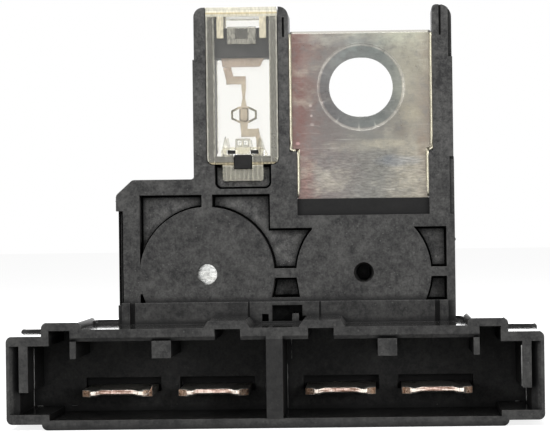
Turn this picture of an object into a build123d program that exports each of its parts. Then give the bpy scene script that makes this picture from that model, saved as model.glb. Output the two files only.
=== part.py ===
from build123d import *
import os

os.makedirs("parts", exist_ok=True)

# Battery fuse unit: a moulded housing with two wide sockets along its foot, a tower with a
# windowed main fuse link, a stud bus bar beside it and four fused blade terminals.
# Across is X, away from the viewer is Y and up is Z. The unit stands on the sockets' flat
# underside. A depth is a distance behind the sockets' rim, a place is a distance to the right
# of the sockets' middle, and a level is a height above the underside.

# Sockets
shroud_width = 71.2
shroud_height = 13.3
end_block_width = 4.7
end_block_top_step = 0.85
end_block_bottom_step = 0.77
socket_depth = 20.0
socket_back_wall = 1.6
top_wall = 1.6
bottom_wall = 1.3
side_wall = 1.7
divider_width = 2.2
lead_in = 0.5
side_lead_in = 1.3
shroud_corner = 0.8

# Raised keys on top of the sockets and the grooves inside them
key_rise = 0.95
outer_key_width = 5.4
outer_groove_width = 2.8
outer_groove_inset = 1.0
inner_key_place = 6.3
inner_key_top = 4.9
inner_key_slope = 0.65
inner_groove_place = 6.18
inner_groove_width = 3.4
groove_roof = 1.1

# Ribs that hang inside the sockets
coding_rib_place = 14.95
coding_rib_width = 2.55
coding_rib_level = 9.4
thin_rib_width = 0.8
wall_rib_width = 1.2
wall_rib_level = 5.0
corner_rib_width = 0.6
corner_rib_depth = 0.6
corner_rib_level = 8.2
floor_recess_place = 28.45
floor_recess_width = 2.3
floor_recess_drop = 0.45

# Collar where the sockets meet the body
collar_rise = 0.3
collar_tab_place = 26.25
collar_tab_width = 2.1
collar_tab_rise = 0.65
collar_tab_slope = 0.3
collar_end_rise = 0.4

# Blade terminals
blade_width = 9.5
blade_thickness = 0.9
blade_level = 4.45
blade_tip_depth = 8.0
inner_blade_place = 8.57
blade_pitch = 13.03
crown_width = 4.3
crown_slope = 0.75
crown_rise = 0.2
tip_bevel = 0.2
tip_corner = 1.25
tip_corner_length = 1.0
blade_slot_clearance = 0.45
blade_slot_height = 1.95
blade_slot_depth = 2.4
terminal_bend = 0.8
branch_leg_width = 1.2
branch_neck_width = 0.7
branch_reach = 1.9
branch_foot_rise = 0.6
branch_arm_rise = 0.8
branch_pad_width = 7.0
branch_pad_height = 1.6
branch_pellet_size = 1.1
pellet_thickness = 0.4
pellet_taper = 20

# Body plate, tower and guard post
face_wall = 3.6
body_left = -22.07
body_right = 24.5
body_top = 33.3
shoulder = 2.1
body_corner = 0.4
shoulder_corner = 0.8
corner_block_bottom = 29.0
corner_block_proud = 0.2
tower_left = -11.43
tower_right = 1.84
tower_corner = 1.3
edge_step = 0.2
upper_step_drop = 7.2
lower_step_level = 36.0
post_left = 21.66
post_inner_corner = 0.6
post_outer_corner = 1.7
post_edge_step = 0.07
post_rabbet_width = 0.62
post_rabbet_depth = 0.6
post_strip_depth = 0.25
post_notch_height = 0.4
top_groove_width = 0.3
top_groove_drop = 4.2
top_groove_depth = 0.8
tower_groove_inset = 0.85
tower_groove_drop = 1.5
post_groove_inset = 0.95
recess_level = 28.1
recess_roof = 30.4
recess_depth = 0.9
wall_root = 0.5
rabbet_width = 0.75
rabbet_depth = 2.0
rabbet_bottom = 16.0
rabbet_top = 29.0

# Round pads and the moulded pockets between them
disc_radius = 9.31
disc_level = 20.15
left_disc_place = -9.77
right_disc_place = 11.89
pin_hole_radius = 1.4
pin_hole_depth = 6.4
pin_hole_taper = 4
plate_hole_radius = 1.8
pocket_floor = 3.0
deep_pocket_floor = 4.6
pocket_top = 31.15
pocket_mid = 26.4
pocket_web_top = 20.85
pocket_web_bottom = 19.55
pocket_left = -19.0
pocket_right = 23.34
pocket_foot_rise = 1.2
web_place = -9.68
web_width = 1.44
tower_wall = 2.8
centre_step = 4.8
apron_level = 16.3
apron_rise = 1.0
apron_left = -19.7
apron_right = 21.6
apron_groove = 0.25
apron_post_width = 1.15
apron_post_gap = 0.7
apron_lines = (-3.98, 5.82)
keyhole_left = -0.78
keyhole_right = 3.38
keyhole_top = 15.8
keyhole_neck_place = 1.1
keyhole_neck_half = 1.5
keyhole_foot_half = 1.97
keyhole_foot_rise = 0.55
slit_left = -2.18
slit_right = -1.28
slit_top = 14.6
stub_left = 1.96
stub_right = 2.9
stub_top = 14.65
stub_notch_width = 0.6
stub_notch_height = 0.7

# Window covers
cover_left = -9.55
cover_right = 0.31
cover_bottom = 35.3
cover_height = 21.7
window_height = 14.77
cover_clearance = 0.1
cover_corner = 0.9
pane_thickness = 1.0
cover_rim_width = 1.1
cover_rim_depth = 1.8
cover_flange = 1.2
notch_drop = 2.8
notch_width = 5.2
latch_leg_place = 2.95
latch_leg_width = 0.85
latch_leg_drop = 4.2
latch_loop_width = 3.9
latch_loop_drop = 5.0
latch_loop_band = 1.15
tab_width = 5.6
tab_corner = 0.3
tab_bottom = 33.0
tab_top = 37.6
tab_thickness = 1.0
tab_setback = 0.2
hook_width = 2.55
hook_bottom = 34.6
hook_top = 36.7
tab_slot_width = 1.2
tab_slot_height = 0.6
tab_recess_margin = 1.1
tab_recess_depth = 1.4
gusset_width = 0.8
gusset_rise = 1.6
tab_frame_width = 2.0
tab_frame_rise = 1.2
tab_frame_band = 0.22

# Bus bar, inner plates and main link
bar_thickness = 1.5
bar_clearance = 0.06
pad_bottom = 37.0
pad_top = 53.6
neck_left = 2.9
neck_right = 21.0
stud_place = 11.8
stud_level = 45.8
stud_hole_radius = 4.1
stud_hole_stretch = 0.6
washer_ring_radius = 6.0
washer_ring_depth = 0.1
bar_corner = 0.45
joggle_drop = 2.3
bar_edge = 0.32
plate_end_margin = 0.9
plate_gap = 4.0
plate_outer = 20.5
load_plate_right = -1.7
load_plate_top = 30.0
link_thickness = 0.8
link_centre = -4.5
link_weld_reach = 5.0
link_weld_height = 2.6
link_head_rise = 3.1
link_head_half = 3.5
link_head_foot_half = 2.9
link_head_drop = 1.2
link_left_reach = 2.3
link_arm_reach = 1.85
link_arm_drop = 3.05
link_arm_width = 1.1
link_leg_width = 0.62
link_waist_width = 0.32
link_shank_width = 0.85
link_foot_drop = 10.37
link_foot_reach = 1.7
link_tail_reach = 2.0
link_neck_drop = 7.85
link_neck_width = 1.24
link_neck_height = 2.4
claw_gap = 0.65
claw_reach = 1.65
claw_half_height = 1.0
claw_width = 0.27
tongue_half_width = 1.9
tongue_place = -3.7
tongue_top = 36.2
main_pellet_width = 1.3
main_pellet_height = 2.0

# Link chamber at the back
chamber_end_room = 0.95
chamber_bottom = 2.4
chamber_top = 12.2
rear_box_wall = 1.0
rear_lid_lip = 0.9
rear_lid_thickness = 1.4
rear_lid_clearance = 0.1
pellet_air = 0.5
lid_skirt_width = 0.8
lid_skirt_depth = 0.7
barrier_width = 1.2
rear_pocket_depth = 2.0
rear_pocket_height = 6.2
rear_pocket_rib = 1.3
rear_pocket_bottom = 15.0
rear_pocket_corner = 0.5

# Depths of the layers, worked out from the sizes above
plate_front = socket_depth + socket_back_wall
plate_back = plate_front + bar_thickness
body_depth = plate_front - face_wall
lid_front = plate_back + blade_thickness + pellet_thickness + pellet_air + lid_skirt_depth
body_back = lid_front + rear_lid_thickness
rim_y = -body_back / 2
link_front = plate_front - link_thickness
bar_front = link_front - bar_thickness
web_front = body_depth + cover_rim_depth
tower_middle = (body_depth + body_back) / 2
web_back = 2 * tower_middle - web_front

# Places worked out from the sizes above
shroud_half = shroud_width / 2
middle_half = shroud_half - end_block_width
cover_place = (cover_left + cover_right) / 2
tower_top = cover_bottom + cover_height
crossbar_level = cover_bottom + window_height
notch_level = tower_top - notch_drop
latch_leg_level = tower_top - latch_leg_drop
latch_loop_level = tower_top - latch_loop_drop
upper_step_level = tower_top - upper_step_drop
blade_places = [
    -inner_blade_place - blade_pitch,
    -inner_blade_place,
    inner_blade_place,
    inner_blade_place + blade_pitch,
]
blade_half = blade_width / 2
strip_top = blade_level + blade_thickness / 2 + terminal_bend + branch_foot_rise
pad_level = chamber_top - branch_pad_height
plate_foot = chamber_top + rear_lid_lip / 2
plate_spread = blade_places[-1] + branch_pad_width / 2 + plate_end_margin
chamber_half = blade_places[-1] + blade_half + chamber_end_room
lid_half = chamber_half + rear_lid_lip
rear_box_half = lid_half + rear_box_wall


def facing(depth):
    """Plane at a depth behind the rim that faces the viewer: its x is across and its y is up."""
    return Plane.XZ.offset(-(rim_y + depth))


def patch(x_low, x_high, z_low, z_high, radius=0.0, mode=Mode.ADD):
    """Rectangle between two places and two levels, in the sketch that is being drawn."""
    with Locations(((x_low + x_high) / 2, (z_low + z_high) / 2)):
        if radius:
            RectangleRounded(x_high - x_low, z_high - z_low, radius, mode=mode)
        else:
            Rectangle(x_high - x_low, z_high - z_low, mode=mode)


def on_side(side, near, far):
    """Low and high place of a stretch between two distances from the middle, on one side."""
    return sorted((side * near, side * far))


def about(side, place, width):
    """Low and high place of something of this width whose middle has its place on one side."""
    return on_side(side, place - width / 2, place + width / 2)


def rearward(front, back, mode=Mode.ADD):
    """Extrude the sketch just drawn at the depth front back to the depth back."""
    extrude(amount=front - back, mode=mode)


# Bus bar: stud pad, neck, joggle into the moulding and the plate that feeds two terminals
with BuildPart() as bus_bar:
    with BuildSketch(facing(bar_front)):
        patch(
            tower_right + bar_clearance,
            post_left - bar_clearance,
            pad_bottom,
            pad_top,
            radius=bar_corner,
        )
        patch(neck_left, neck_right, recess_roof, pad_top - bar_corner)
    rearward(bar_front, link_front)
    chamfer(bus_bar.faces().sort_by(Axis.Y)[0].edges().sort_by(Axis.Z)[1:], bar_edge)
    with BuildSketch(Plane.YZ.offset(neck_left)):
        front_y = rim_y + bar_front
        back_y = rim_y + plate_front
        low = recess_roof - joggle_drop
        high = recess_roof
        Polygon(
            (front_y, high + bar_thickness),
            (front_y, high),
            (back_y, low),
            (back_y, low - bar_thickness),
            (back_y + bar_thickness, low - bar_thickness),
            (back_y + bar_thickness, low + bar_thickness / 3),
            (front_y + bar_thickness, high + bar_thickness / 3),
            (front_y + bar_thickness, high + bar_thickness),
        )
    extrude(amount=neck_right - neck_left)
    with BuildSketch(facing(plate_front)):
        patch(plate_gap, plate_outer, plate_foot, low)
        patch(plate_gap, plate_spread, pad_level, chamber_top + rear_lid_lip)
        patch(neck_left, neck_right, low - bar_thickness, low)
    rearward(plate_front, plate_back)
    with BuildSketch(facing(bar_front)):
        with Locations((stud_place, stud_level)):
            SlotCenterToCenter(stud_hole_stretch, 2 * stud_hole_radius)
    rearward(bar_front, link_front, mode=Mode.SUBTRACT)
    with BuildSketch(facing(bar_front)):
        with Locations((stud_place, stud_level)):
            Circle(washer_ring_radius)
    rearward(bar_front, bar_front + washer_ring_depth, mode=Mode.SUBTRACT)
    with BuildSketch(facing(plate_front)):
        with Locations((right_disc_place, disc_level)):
            Circle(plate_hole_radius)
    rearward(plate_front, plate_back, mode=Mode.SUBTRACT)
bus_bar.part.label = "bus_bar"
export_step(bus_bar.part, "parts/bus_bar.step")

# Load plate: carries what the main link lets through to the two terminals on the left
with BuildPart() as load_plate:
    with BuildSketch(facing(plate_front)):
        patch(-plate_outer, load_plate_right, plate_foot, load_plate_top)
        patch(-plate_spread, -plate_gap, pad_level, chamber_top + rear_lid_lip)
        patch(
            tongue_place - tongue_half_width,
            tongue_place + tongue_half_width,
            load_plate_top - bar_thickness,
            tongue_top,
        )
    rearward(plate_front, plate_back)
load_plate.part.label = "load_plate"
export_step(load_plate.part, "parts/load_plate.step")

# Main fuse link: a stamped strip that zigzags down the window from a head welded behind the
# stud pad to a foot welded on the load plate's tongue
head_bottom = crossbar_level - link_head_drop
head_top = crossbar_level + link_head_rise
arm_level = crossbar_level - link_arm_drop
neck_level = crossbar_level - link_neck_drop
foot_level = crossbar_level - link_foot_drop
foot_left = link_centre - link_shank_width / 2
waist_level = neck_level + link_neck_height
with BuildPart() as main_fuse_link:
    with BuildSketch(facing(link_front)):
        patch(link_centre, tower_right + link_weld_reach, head_top - link_weld_height, head_top)
        Polygon(
            (link_centre - link_head_foot_half, head_bottom),
            (link_centre + link_head_foot_half - link_leg_width, head_bottom),
            (link_centre + link_head_foot_half, crossbar_level),
            (link_centre + link_head_foot_half, head_top),
            (link_centre - link_head_half, head_top),
        )
        with BuildLine():
            Polyline(
                (link_centre - link_left_reach, head_bottom),
                (link_centre - link_arm_reach, arm_level),
            )
        trace(line_width=link_arm_width)
        patch(
            link_centre - link_arm_reach - link_arm_width / 2,
            link_centre + link_leg_width / 2,
            arm_level - link_arm_width / 2,
            arm_level + link_arm_width / 2,
        )
        with Locations((link_centre, 0)):
            Polygon(
                (-link_leg_width / 2, arm_level),
                (-link_leg_width / 2, arm_level - link_arm_width),
                (-link_waist_width / 2, waist_level),
                (-link_neck_width / 2, neck_level),
                (-link_shank_width / 2, foot_level),
                (link_shank_width / 2, foot_level),
                (link_neck_width / 2, neck_level),
                (link_waist_width / 2, waist_level),
                (link_leg_width / 2, arm_level - link_arm_width),
                (link_leg_width / 2, arm_level),
            )
        with Locations((link_centre, neck_level)):
            RectangleRounded(link_neck_width, link_neck_height, link_neck_width / 3)
        patch(
            foot_left,
            link_centre + link_foot_reach,
            foot_level - link_arm_width / 2,
            foot_level + link_arm_width / 2,
        )
        with BuildLine():
            Polyline(
                (link_centre + link_foot_reach, foot_level + link_arm_width / 2),
                (link_centre + link_tail_reach, foot_level - link_arm_width),
                (link_centre + link_tail_reach, tongue_top - link_arm_width),
            )
        trace(line_width=link_leg_width)
        patch(
            tongue_place - tongue_half_width,
            tongue_place + tongue_half_width,
            load_plate_top + bar_thickness,
            tongue_top,
        )
    rearward(link_front, plate_front)

    # Claws that hold the tin pellet from both sides of the neck
    with BuildSketch(facing(link_front)):
        for side in (-1, 1):
            with BuildLine():
                Polyline(
                    (link_centre + side * claw_gap / 2, neck_level + claw_half_height),
                    (link_centre + side * claw_gap, neck_level + claw_half_height),
                    (link_centre + side * claw_reach, neck_level + claw_half_height / 2),
                    (link_centre + side * claw_reach, neck_level - claw_half_height / 2),
                    (link_centre + side * claw_gap, neck_level - claw_half_height),
                    (link_centre + side * claw_gap / 2, neck_level - claw_half_height),
                )
            trace(line_width=claw_width)
    rearward(link_front, link_front + link_thickness / 2)
main_fuse_link.part.label = "main_fuse_link"
export_step(main_fuse_link.part, "parts/main_fuse_link.step")

# Pellet of tin on the main link's neck, where the strip melts first
with BuildPart() as main_link_pellet:
    with BuildSketch(facing(link_front)):
        with Locations((link_centre, neck_level)):
            RectangleRounded(main_pellet_width, main_pellet_height, main_pellet_width / 3)
    extrude(amount=pellet_thickness, taper=pellet_taper)
main_link_pellet.part.label = "main_link_pellet"
export_step(main_link_pellet.part, "parts/main_link_pellet.step")

# Blade terminals: a crowned blade, a bend behind the socket and a thin link up to a weld pad
crown_half = crown_width / 2
blade_low = -blade_thickness / 2
blade_high = blade_thickness / 2
bend_depth = plate_back - terminal_bend
crown_end = socket_depth - tip_corner
branch_middle = (strip_top + pad_level) / 2
terminals = []
for number, place in enumerate(blade_places, start=1):
    with BuildPart() as blade_terminal:
        with BuildSketch(facing(blade_tip_depth)):
            with Locations((place, blade_level)):
                Polygon(
                    (-blade_half, blade_low - crown_rise / 2),
                    (-crown_half - crown_slope, blade_low - crown_rise / 2),
                    (-crown_half, blade_low + crown_rise / 2),
                    (crown_half, blade_low + crown_rise / 2),
                    (crown_half + crown_slope, blade_low - crown_rise / 2),
                    (blade_half, blade_low - crown_rise / 2),
                    (blade_half, blade_high - crown_rise / 2),
                    (crown_half + crown_slope, blade_high - crown_rise / 2),
                    (crown_half, blade_high + crown_rise / 2),
                    (-crown_half, blade_high + crown_rise / 2),
                    (-crown_half - crown_slope, blade_high - crown_rise / 2),
                    (-blade_half, blade_high - crown_rise / 2),
                )
        rearward(blade_tip_depth, crown_end)
        tip_edges = blade_terminal.faces().sort_by(Axis.Y)[0].edges().filter_by(Axis.Z, reverse=True)
        chamfer(tip_edges, tip_bevel)
        with BuildSketch(Plane.XY.offset(blade_level)):
            for side in (-1, 1):
                Polygon(
                    (place + side * (blade_half - tip_corner), rim_y + blade_tip_depth),
                    (place + side * blade_width, rim_y + blade_tip_depth - blade_width),
                    (place + side * blade_half, rim_y + blade_tip_depth + tip_corner_length),
                )
        extrude(amount=blade_width, both=True, mode=Mode.SUBTRACT)
        with BuildSketch(Plane.YZ.offset(place - blade_half)):
            with BuildLine():
                bend_y = rim_y + bend_depth
                bend_z = blade_level + blade_high + terminal_bend
                Polyline(
                    (bend_y, bend_z - terminal_bend),
                    (rim_y + crown_end, bend_z - terminal_bend),
                    (rim_y + crown_end, bend_z - terminal_bend - blade_thickness),
                    (bend_y, bend_z - terminal_bend - blade_thickness),
                )
                CenterArc((bend_y, bend_z), terminal_bend + blade_thickness, -90, 90)
                Polyline(
                    (bend_y + terminal_bend + blade_thickness, bend_z),
                    (bend_y + terminal_bend + blade_thickness, strip_top),
                    (bend_y + terminal_bend, strip_top),
                    (bend_y + terminal_bend, bend_z),
                )
                CenterArc((bend_y, bend_z), terminal_bend, -90, 90)
            make_face()
        extrude(amount=blade_width)
        with BuildSketch(facing(plate_back)):
            left = place - branch_reach
            right = place + branch_reach
            neck_low = place - branch_neck_width / 2
            neck_high = place + branch_neck_width / 2
            patch(right - branch_leg_width, right, strip_top, strip_top + branch_arm_rise)
            patch(neck_low, right, strip_top + branch_arm_rise / 2, strip_top + 2 * branch_arm_rise)
            patch(neck_low, neck_high, strip_top + branch_arm_rise, pad_level - branch_arm_rise)
            patch(left, neck_high, pad_level - 2 * branch_arm_rise, pad_level - branch_arm_rise / 2)
            patch(left, left + branch_leg_width, pad_level - branch_arm_rise, pad_level)
            patch(
                place - branch_pad_width / 2,
                place + branch_pad_width / 2,
                pad_level,
                chamber_top,
            )
        rearward(plate_back, plate_back + blade_thickness)
    blade_terminal.part.label = f"blade_terminal_{number}"
    export_step(blade_terminal.part, f"parts/blade_terminal_{number}.step")
    terminals.append(blade_terminal.part)

    # Pellet of tin on the back of this terminal's link
    with BuildPart() as branch_pellet:
        with BuildSketch(facing(plate_back + blade_thickness)):
            with Locations((place, branch_middle)):
                RectangleRounded(branch_pellet_size, branch_pellet_size, branch_pellet_size / 4)
        extrude(amount=-pellet_thickness, taper=pellet_taper)
    branch_pellet.part.label = f"branch_pellet_{number}"
    export_step(branch_pellet.part, f"parts/branch_pellet_{number}.step")

# Front window cover: a clear pane with a rim, a top flange, a latch loop and a snap tab
pane_back = body_depth + pane_thickness
with BuildPart() as front_window_cover:
    with BuildSketch(facing(body_depth)):
        patch(cover_left, cover_right, cover_bottom, tower_top, radius=cover_corner)
        patch(cover_left, cover_right, tower_top - cover_flange, tower_top)
    rearward(body_depth, pane_back)
    with BuildSketch(facing(pane_back)):
        patch(cover_left, cover_right, cover_bottom, tower_top - cover_flange, radius=cover_corner)
        patch(
            cover_left + cover_rim_width,
            cover_right - cover_rim_width,
            cover_bottom + cover_rim_width,
            tower_top,
            mode=Mode.SUBTRACT,
        )
        for side in (-1, 1):
            patch(
                cover_place + side * latch_leg_place - latch_leg_width / 2,
                cover_place + side * latch_leg_place + latch_leg_width / 2,
                latch_leg_level,
                tower_top - cover_flange / 2,
            )
            with Locations((cover_place + side * (tab_width / 2 - gusset_width / 2), tab_top)):
                Polygon((-gusset_width / 2, 0), (gusset_width / 2, 0), (0, gusset_rise))
        patch(
            cover_place - latch_loop_width / 2,
            cover_place + latch_loop_width / 2,
            latch_loop_level,
            notch_level + cover_clearance,
        )
        patch(
            cover_place - latch_loop_width / 2 + latch_loop_band,
            cover_place + latch_loop_width / 2 - latch_loop_band,
            latch_loop_level + latch_loop_band / 2,
            notch_level - cover_clearance,
            mode=Mode.SUBTRACT,
        )
        patch(
            cover_place - tab_frame_width / 2,
            cover_place + tab_frame_width / 2,
            cover_bottom + cover_rim_width / 2,
            tab_top + tab_frame_rise,
        )
        window_width = (tab_frame_width - 3 * tab_frame_band) / 2
        with Locations((cover_place, tab_top + tab_frame_rise / 2)):
            with GridLocations(window_width + tab_frame_band, 0, 2, 1):
                Rectangle(window_width, tab_frame_rise - 2 * tab_frame_band, mode=Mode.SUBTRACT)
    rearward(pane_back, web_front)
    with BuildSketch(facing(body_depth)):
        patch(cover_left, cover_right, tower_top - cover_flange, tower_top)
    rearward(body_depth, tower_middle - cover_clearance / 2)
    with BuildSketch(facing(body_depth + tab_setback)):
        patch(
            cover_place - tab_width / 2,
            cover_place + tab_width / 2,
            tab_bottom,
            tab_top,
            radius=tab_corner,
        )
    rearward(body_depth + tab_setback, body_depth + tab_setback + tab_thickness)
    with BuildSketch(facing(body_depth)):
        patch(cover_place - hook_width / 2, cover_place + hook_width / 2, hook_bottom, hook_top)
        for side in (-1, 1):
            slot_place = cover_place + side * (tab_width / 2 - tab_slot_width)
            with Locations((slot_place, tab_top - tab_slot_height)):
                Rectangle(tab_slot_width, tab_slot_height)
    rearward(body_depth, web_front, mode=Mode.SUBTRACT)
front_window_cover.part.label = "front_window_cover"
export_step(front_window_cover.part, "parts/front_window_cover.step")

# Rear window cover: the same moulding turned to the back of the tower
with BuildPart() as rear_window_cover:
    mirror(front_window_cover.part, about=facing(tower_middle))
rear_window_cover.part.label = "rear_window_cover"
export_step(rear_window_cover.part, "parts/rear_window_cover.step")

# Rear link cover: a clear lid over the four terminal links
lid_bottom = chamber_bottom - rear_lid_lip
lid_top = chamber_top + rear_lid_lip
with BuildPart() as rear_link_cover:
    with BuildSketch(facing(lid_front)):
        patch(
            -lid_half + rear_lid_clearance,
            lid_half - rear_lid_clearance,
            lid_bottom + rear_lid_clearance,
            lid_top - rear_lid_clearance,
            radius=shroud_corner,
        )
    rearward(lid_front, body_back)
    with BuildSketch(facing(lid_front - lid_skirt_depth)):
        patch(
            -chamber_half + rear_lid_clearance,
            chamber_half - rear_lid_clearance,
            chamber_bottom + rear_lid_clearance,
            chamber_top - rear_lid_clearance,
        )
        patch(
            -chamber_half + lid_skirt_width,
            chamber_half - lid_skirt_width,
            chamber_bottom + lid_skirt_width,
            chamber_top - lid_skirt_width,
            mode=Mode.SUBTRACT,
        )
    rearward(lid_front - lid_skirt_depth, lid_front)
rear_link_cover.part.label = "rear_link_cover"
export_step(rear_link_cover.part, "parts/rear_link_cover.step")

# Housing: sockets, body plate, tower and post in one moulding round the metal
middle_floor = bottom_wall
middle_roof = shroud_height - top_wall
end_floor = end_block_bottom_step + bottom_wall
end_roof = shroud_height - end_block_top_step - bottom_wall
recess_floor = end_floor - floor_recess_drop
end_start = middle_half - outer_groove_inset
inner_wall = shroud_half - side_wall
groove_level = shroud_height + key_rise - groove_roof
outer_key_near = middle_half - outer_key_width
outer_groove_far = middle_half - outer_groove_inset
outer_groove_near = outer_groove_far - outer_groove_width
wall_top = pad_bottom - bar_clearance
recess_x_low = cover_left - cover_clearance
recess_x_high = cover_right + cover_clearance

with BuildPart() as housing:
    # Outside of the sockets with their raised keys
    with BuildSketch(facing(0)):
        patch(-middle_half, middle_half, 0, shroud_height, radius=shroud_corner)
        for side in (-1, 1):
            patch(
                *on_side(side, middle_half - end_block_width, shroud_half),
                end_block_bottom_step,
                shroud_height - end_block_top_step,
                radius=shroud_corner,
            )
            patch(
                *on_side(side, outer_key_near, middle_half),
                shroud_height / 2,
                shroud_height + key_rise,
                radius=shroud_corner,
            )
            with Locations((side * inner_key_place, shroud_height)):
                Polygon(
                    (-inner_key_top / 2 - inner_key_slope, 0),
                    (-inner_key_top / 2 - inner_key_slope, -top_wall / 2),
                    (inner_key_top / 2 + inner_key_slope, -top_wall / 2),
                    (inner_key_top / 2 + inner_key_slope, 0),
                    (inner_key_top / 2, key_rise),
                    (-inner_key_top / 2, key_rise),
                )
    rearward(0, plate_front)

    # Collar at the back of the sockets and the box that holds the link chamber
    with BuildSketch(facing(body_depth)):
        patch(-middle_half, middle_half, shroud_height / 2, shroud_height + collar_rise)
        for side in (-1, 1):
            patch(
                *on_side(side, middle_half - collar_end_rise, shroud_half),
                shroud_height / 2,
                shroud_height - end_block_top_step + collar_end_rise,
                radius=collar_end_rise,
            )
            tab_near = side * (collar_tab_place - collar_tab_width / 2)
            tab_far = side * (collar_tab_place + collar_tab_width / 2)
            Polygon(
                (tab_near, shroud_height - top_wall / 2),
                (tab_near, shroud_height + collar_tab_rise),
                (tab_far, shroud_height + collar_tab_rise - collar_tab_slope),
                (tab_far, shroud_height - top_wall / 2),
            )
    rearward(body_depth, plate_front)
    with BuildSketch(facing(plate_front)):
        patch(
            -rear_box_half,
            rear_box_half,
            0,
            shroud_height + collar_tab_rise,
            radius=shroud_corner,
        )
    rearward(plate_front, body_back)

    # Body plate with the tower on its left and the guard post on its right
    with BuildSketch(facing(body_depth)):
        with BuildLine():
            FilletPolyline(
                (body_left, shroud_height / 2),
                (body_left, corner_block_bottom),
                (body_left - corner_block_proud, corner_block_bottom),
                (body_left - corner_block_proud, body_top - shoulder),
                (body_left + shoulder, body_top),
                (tower_left, body_top),
                (tower_left, upper_step_level),
                (tower_left + edge_step, upper_step_level),
                (tower_left + edge_step, tower_top),
                (tower_right, tower_top),
                (tower_right, recess_roof),
                (post_left, recess_roof),
                (post_left, tower_top),
                (body_right - 2 * post_edge_step, tower_top),
                (body_right - 2 * post_edge_step, upper_step_level),
                (body_right - post_edge_step, upper_step_level),
                (body_right - post_edge_step, lower_step_level),
                (body_right, lower_step_level),
                (body_right, shroud_height / 2),
                radius=[0, 0, 0, shoulder_corner, shoulder_corner, body_corner, 0, 0]
                + [tower_corner, tower_corner, body_corner, body_corner]
                + [post_inner_corner, post_outer_corner]
                + [0, 0, 0, 0, 0],
                close=True,
            )
        make_face()
    rearward(body_depth, body_back)
    with BuildSketch(facing(body_depth)):
        patch(tower_right - wall_root, neck_left - bar_clearance, recess_level, wall_top)
        patch(neck_right + bar_clearance, post_left + wall_root, recess_level, wall_top)
    rearward(body_depth, link_front)
    with BuildSketch(facing(body_depth)):
        patch(neck_left - bar_clearance, neck_right + bar_clearance, recess_level, recess_roof)
    rearward(body_depth, body_depth + recess_depth, mode=Mode.SUBTRACT)

    # Apron across the foot of the body, with two fine grooves and a slim post at each end
    with BuildSketch(facing(body_depth - apron_rise)):
        patch(apron_left, apron_right, shroud_height - top_wall / 2, apron_level)
        post_low = shroud_height - top_wall / 2
        left_post = apron_left - apron_post_gap
        right_post = apron_right + apron_post_gap
        patch(left_post - apron_post_width, left_post, post_low, apron_level)
        patch(right_post, right_post + apron_post_width, post_low, apron_level)
    rearward(body_depth - apron_rise, body_depth)
    with BuildSketch(facing(body_depth - apron_rise)):
        for line in apron_lines:
            patch(line - apron_groove / 2, line + apron_groove / 2, shroud_height, apron_level)
    rearward(body_depth - apron_rise, body_depth - apron_rise / 2, mode=Mode.SUBTRACT)

    # Sockets: the main space, the shallower end space, the grooves and the flared mouth
    for side in (-1, 1):
        with BuildSketch(facing(0)):
            patch(*on_side(side, divider_width / 2, end_start), middle_floor, middle_roof)
            patch(*on_side(side, end_start - side_wall, inner_wall), end_floor, end_roof)
            patch(*on_side(side, outer_groove_near, outer_groove_far), middle_floor, groove_level)
            patch(*about(side, inner_groove_place, inner_groove_width), middle_floor, groove_level)
            patch(*about(side, floor_recess_place, floor_recess_width), recess_floor, end_roof)
            patch(
                *about(side, coding_rib_place, coding_rib_width),
                coding_rib_level,
                middle_roof,
                mode=Mode.SUBTRACT,
            )
            patch(
                *on_side(side, outer_groove_near - thin_rib_width, outer_groove_near),
                coding_rib_level,
                middle_roof,
                mode=Mode.SUBTRACT,
            )
            patch(
                *on_side(side, inner_wall - wall_rib_width, inner_wall),
                wall_rib_level,
                end_roof,
                mode=Mode.SUBTRACT,
            )
        rearward(0, socket_depth, mode=Mode.SUBTRACT)
        with BuildSketch(Plane.XY.offset(end_floor)):
            Polygon(
                (side * inner_wall, rim_y),
                (side * (inner_wall + side_lead_in), rim_y),
                (side * inner_wall, rim_y + side_lead_in),
            )
        extrude(amount=end_roof - end_floor, mode=Mode.SUBTRACT)
        with BuildSketch(Plane.YZ.offset(side * divider_width / 2)):
            Polygon(
                (rim_y, middle_roof),
                (rim_y + lead_in, middle_roof),
                (rim_y, middle_roof + lead_in),
            )
        extrude(amount=side * (end_start - divider_width / 2), mode=Mode.SUBTRACT)
        with BuildSketch(facing(socket_depth - corner_rib_depth)):
            patch(
                *on_side(side, divider_width / 2, divider_width / 2 + corner_rib_width),
                corner_rib_level,
                middle_roof,
            )
        rearward(socket_depth - corner_rib_depth, socket_depth)

    # Slots above the blades in the sockets' back wall
    with BuildSketch(facing(socket_depth)):
        for place in blade_places:
            patch(
                place - blade_half - blade_slot_clearance,
                place + blade_half + blade_slot_clearance,
                blade_level + blade_low,
                blade_level + blade_low + blade_slot_height,
            )
    rearward(socket_depth, socket_depth + blade_slot_depth, mode=Mode.SUBTRACT)

    # Link chamber at the back with the seat for its lid and the barriers between the links
    with BuildSketch(facing(plate_back)):
        patch(-chamber_half, chamber_half, chamber_bottom, chamber_top)
    rearward(plate_back, body_back, mode=Mode.SUBTRACT)
    with BuildSketch(facing(lid_front)):
        patch(-lid_half, lid_half, lid_bottom, lid_top, radius=shroud_corner)
    rearward(lid_front, body_back, mode=Mode.SUBTRACT)
    with BuildSketch(facing(plate_back)):
        for place in (-inner_blade_place - blade_pitch / 2, 0, inner_blade_place + blade_pitch / 2):
            patch(place - barrier_width / 2, place + barrier_width / 2, chamber_bottom, chamber_top)
    rearward(plate_back, lid_front - lid_skirt_depth)

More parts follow.
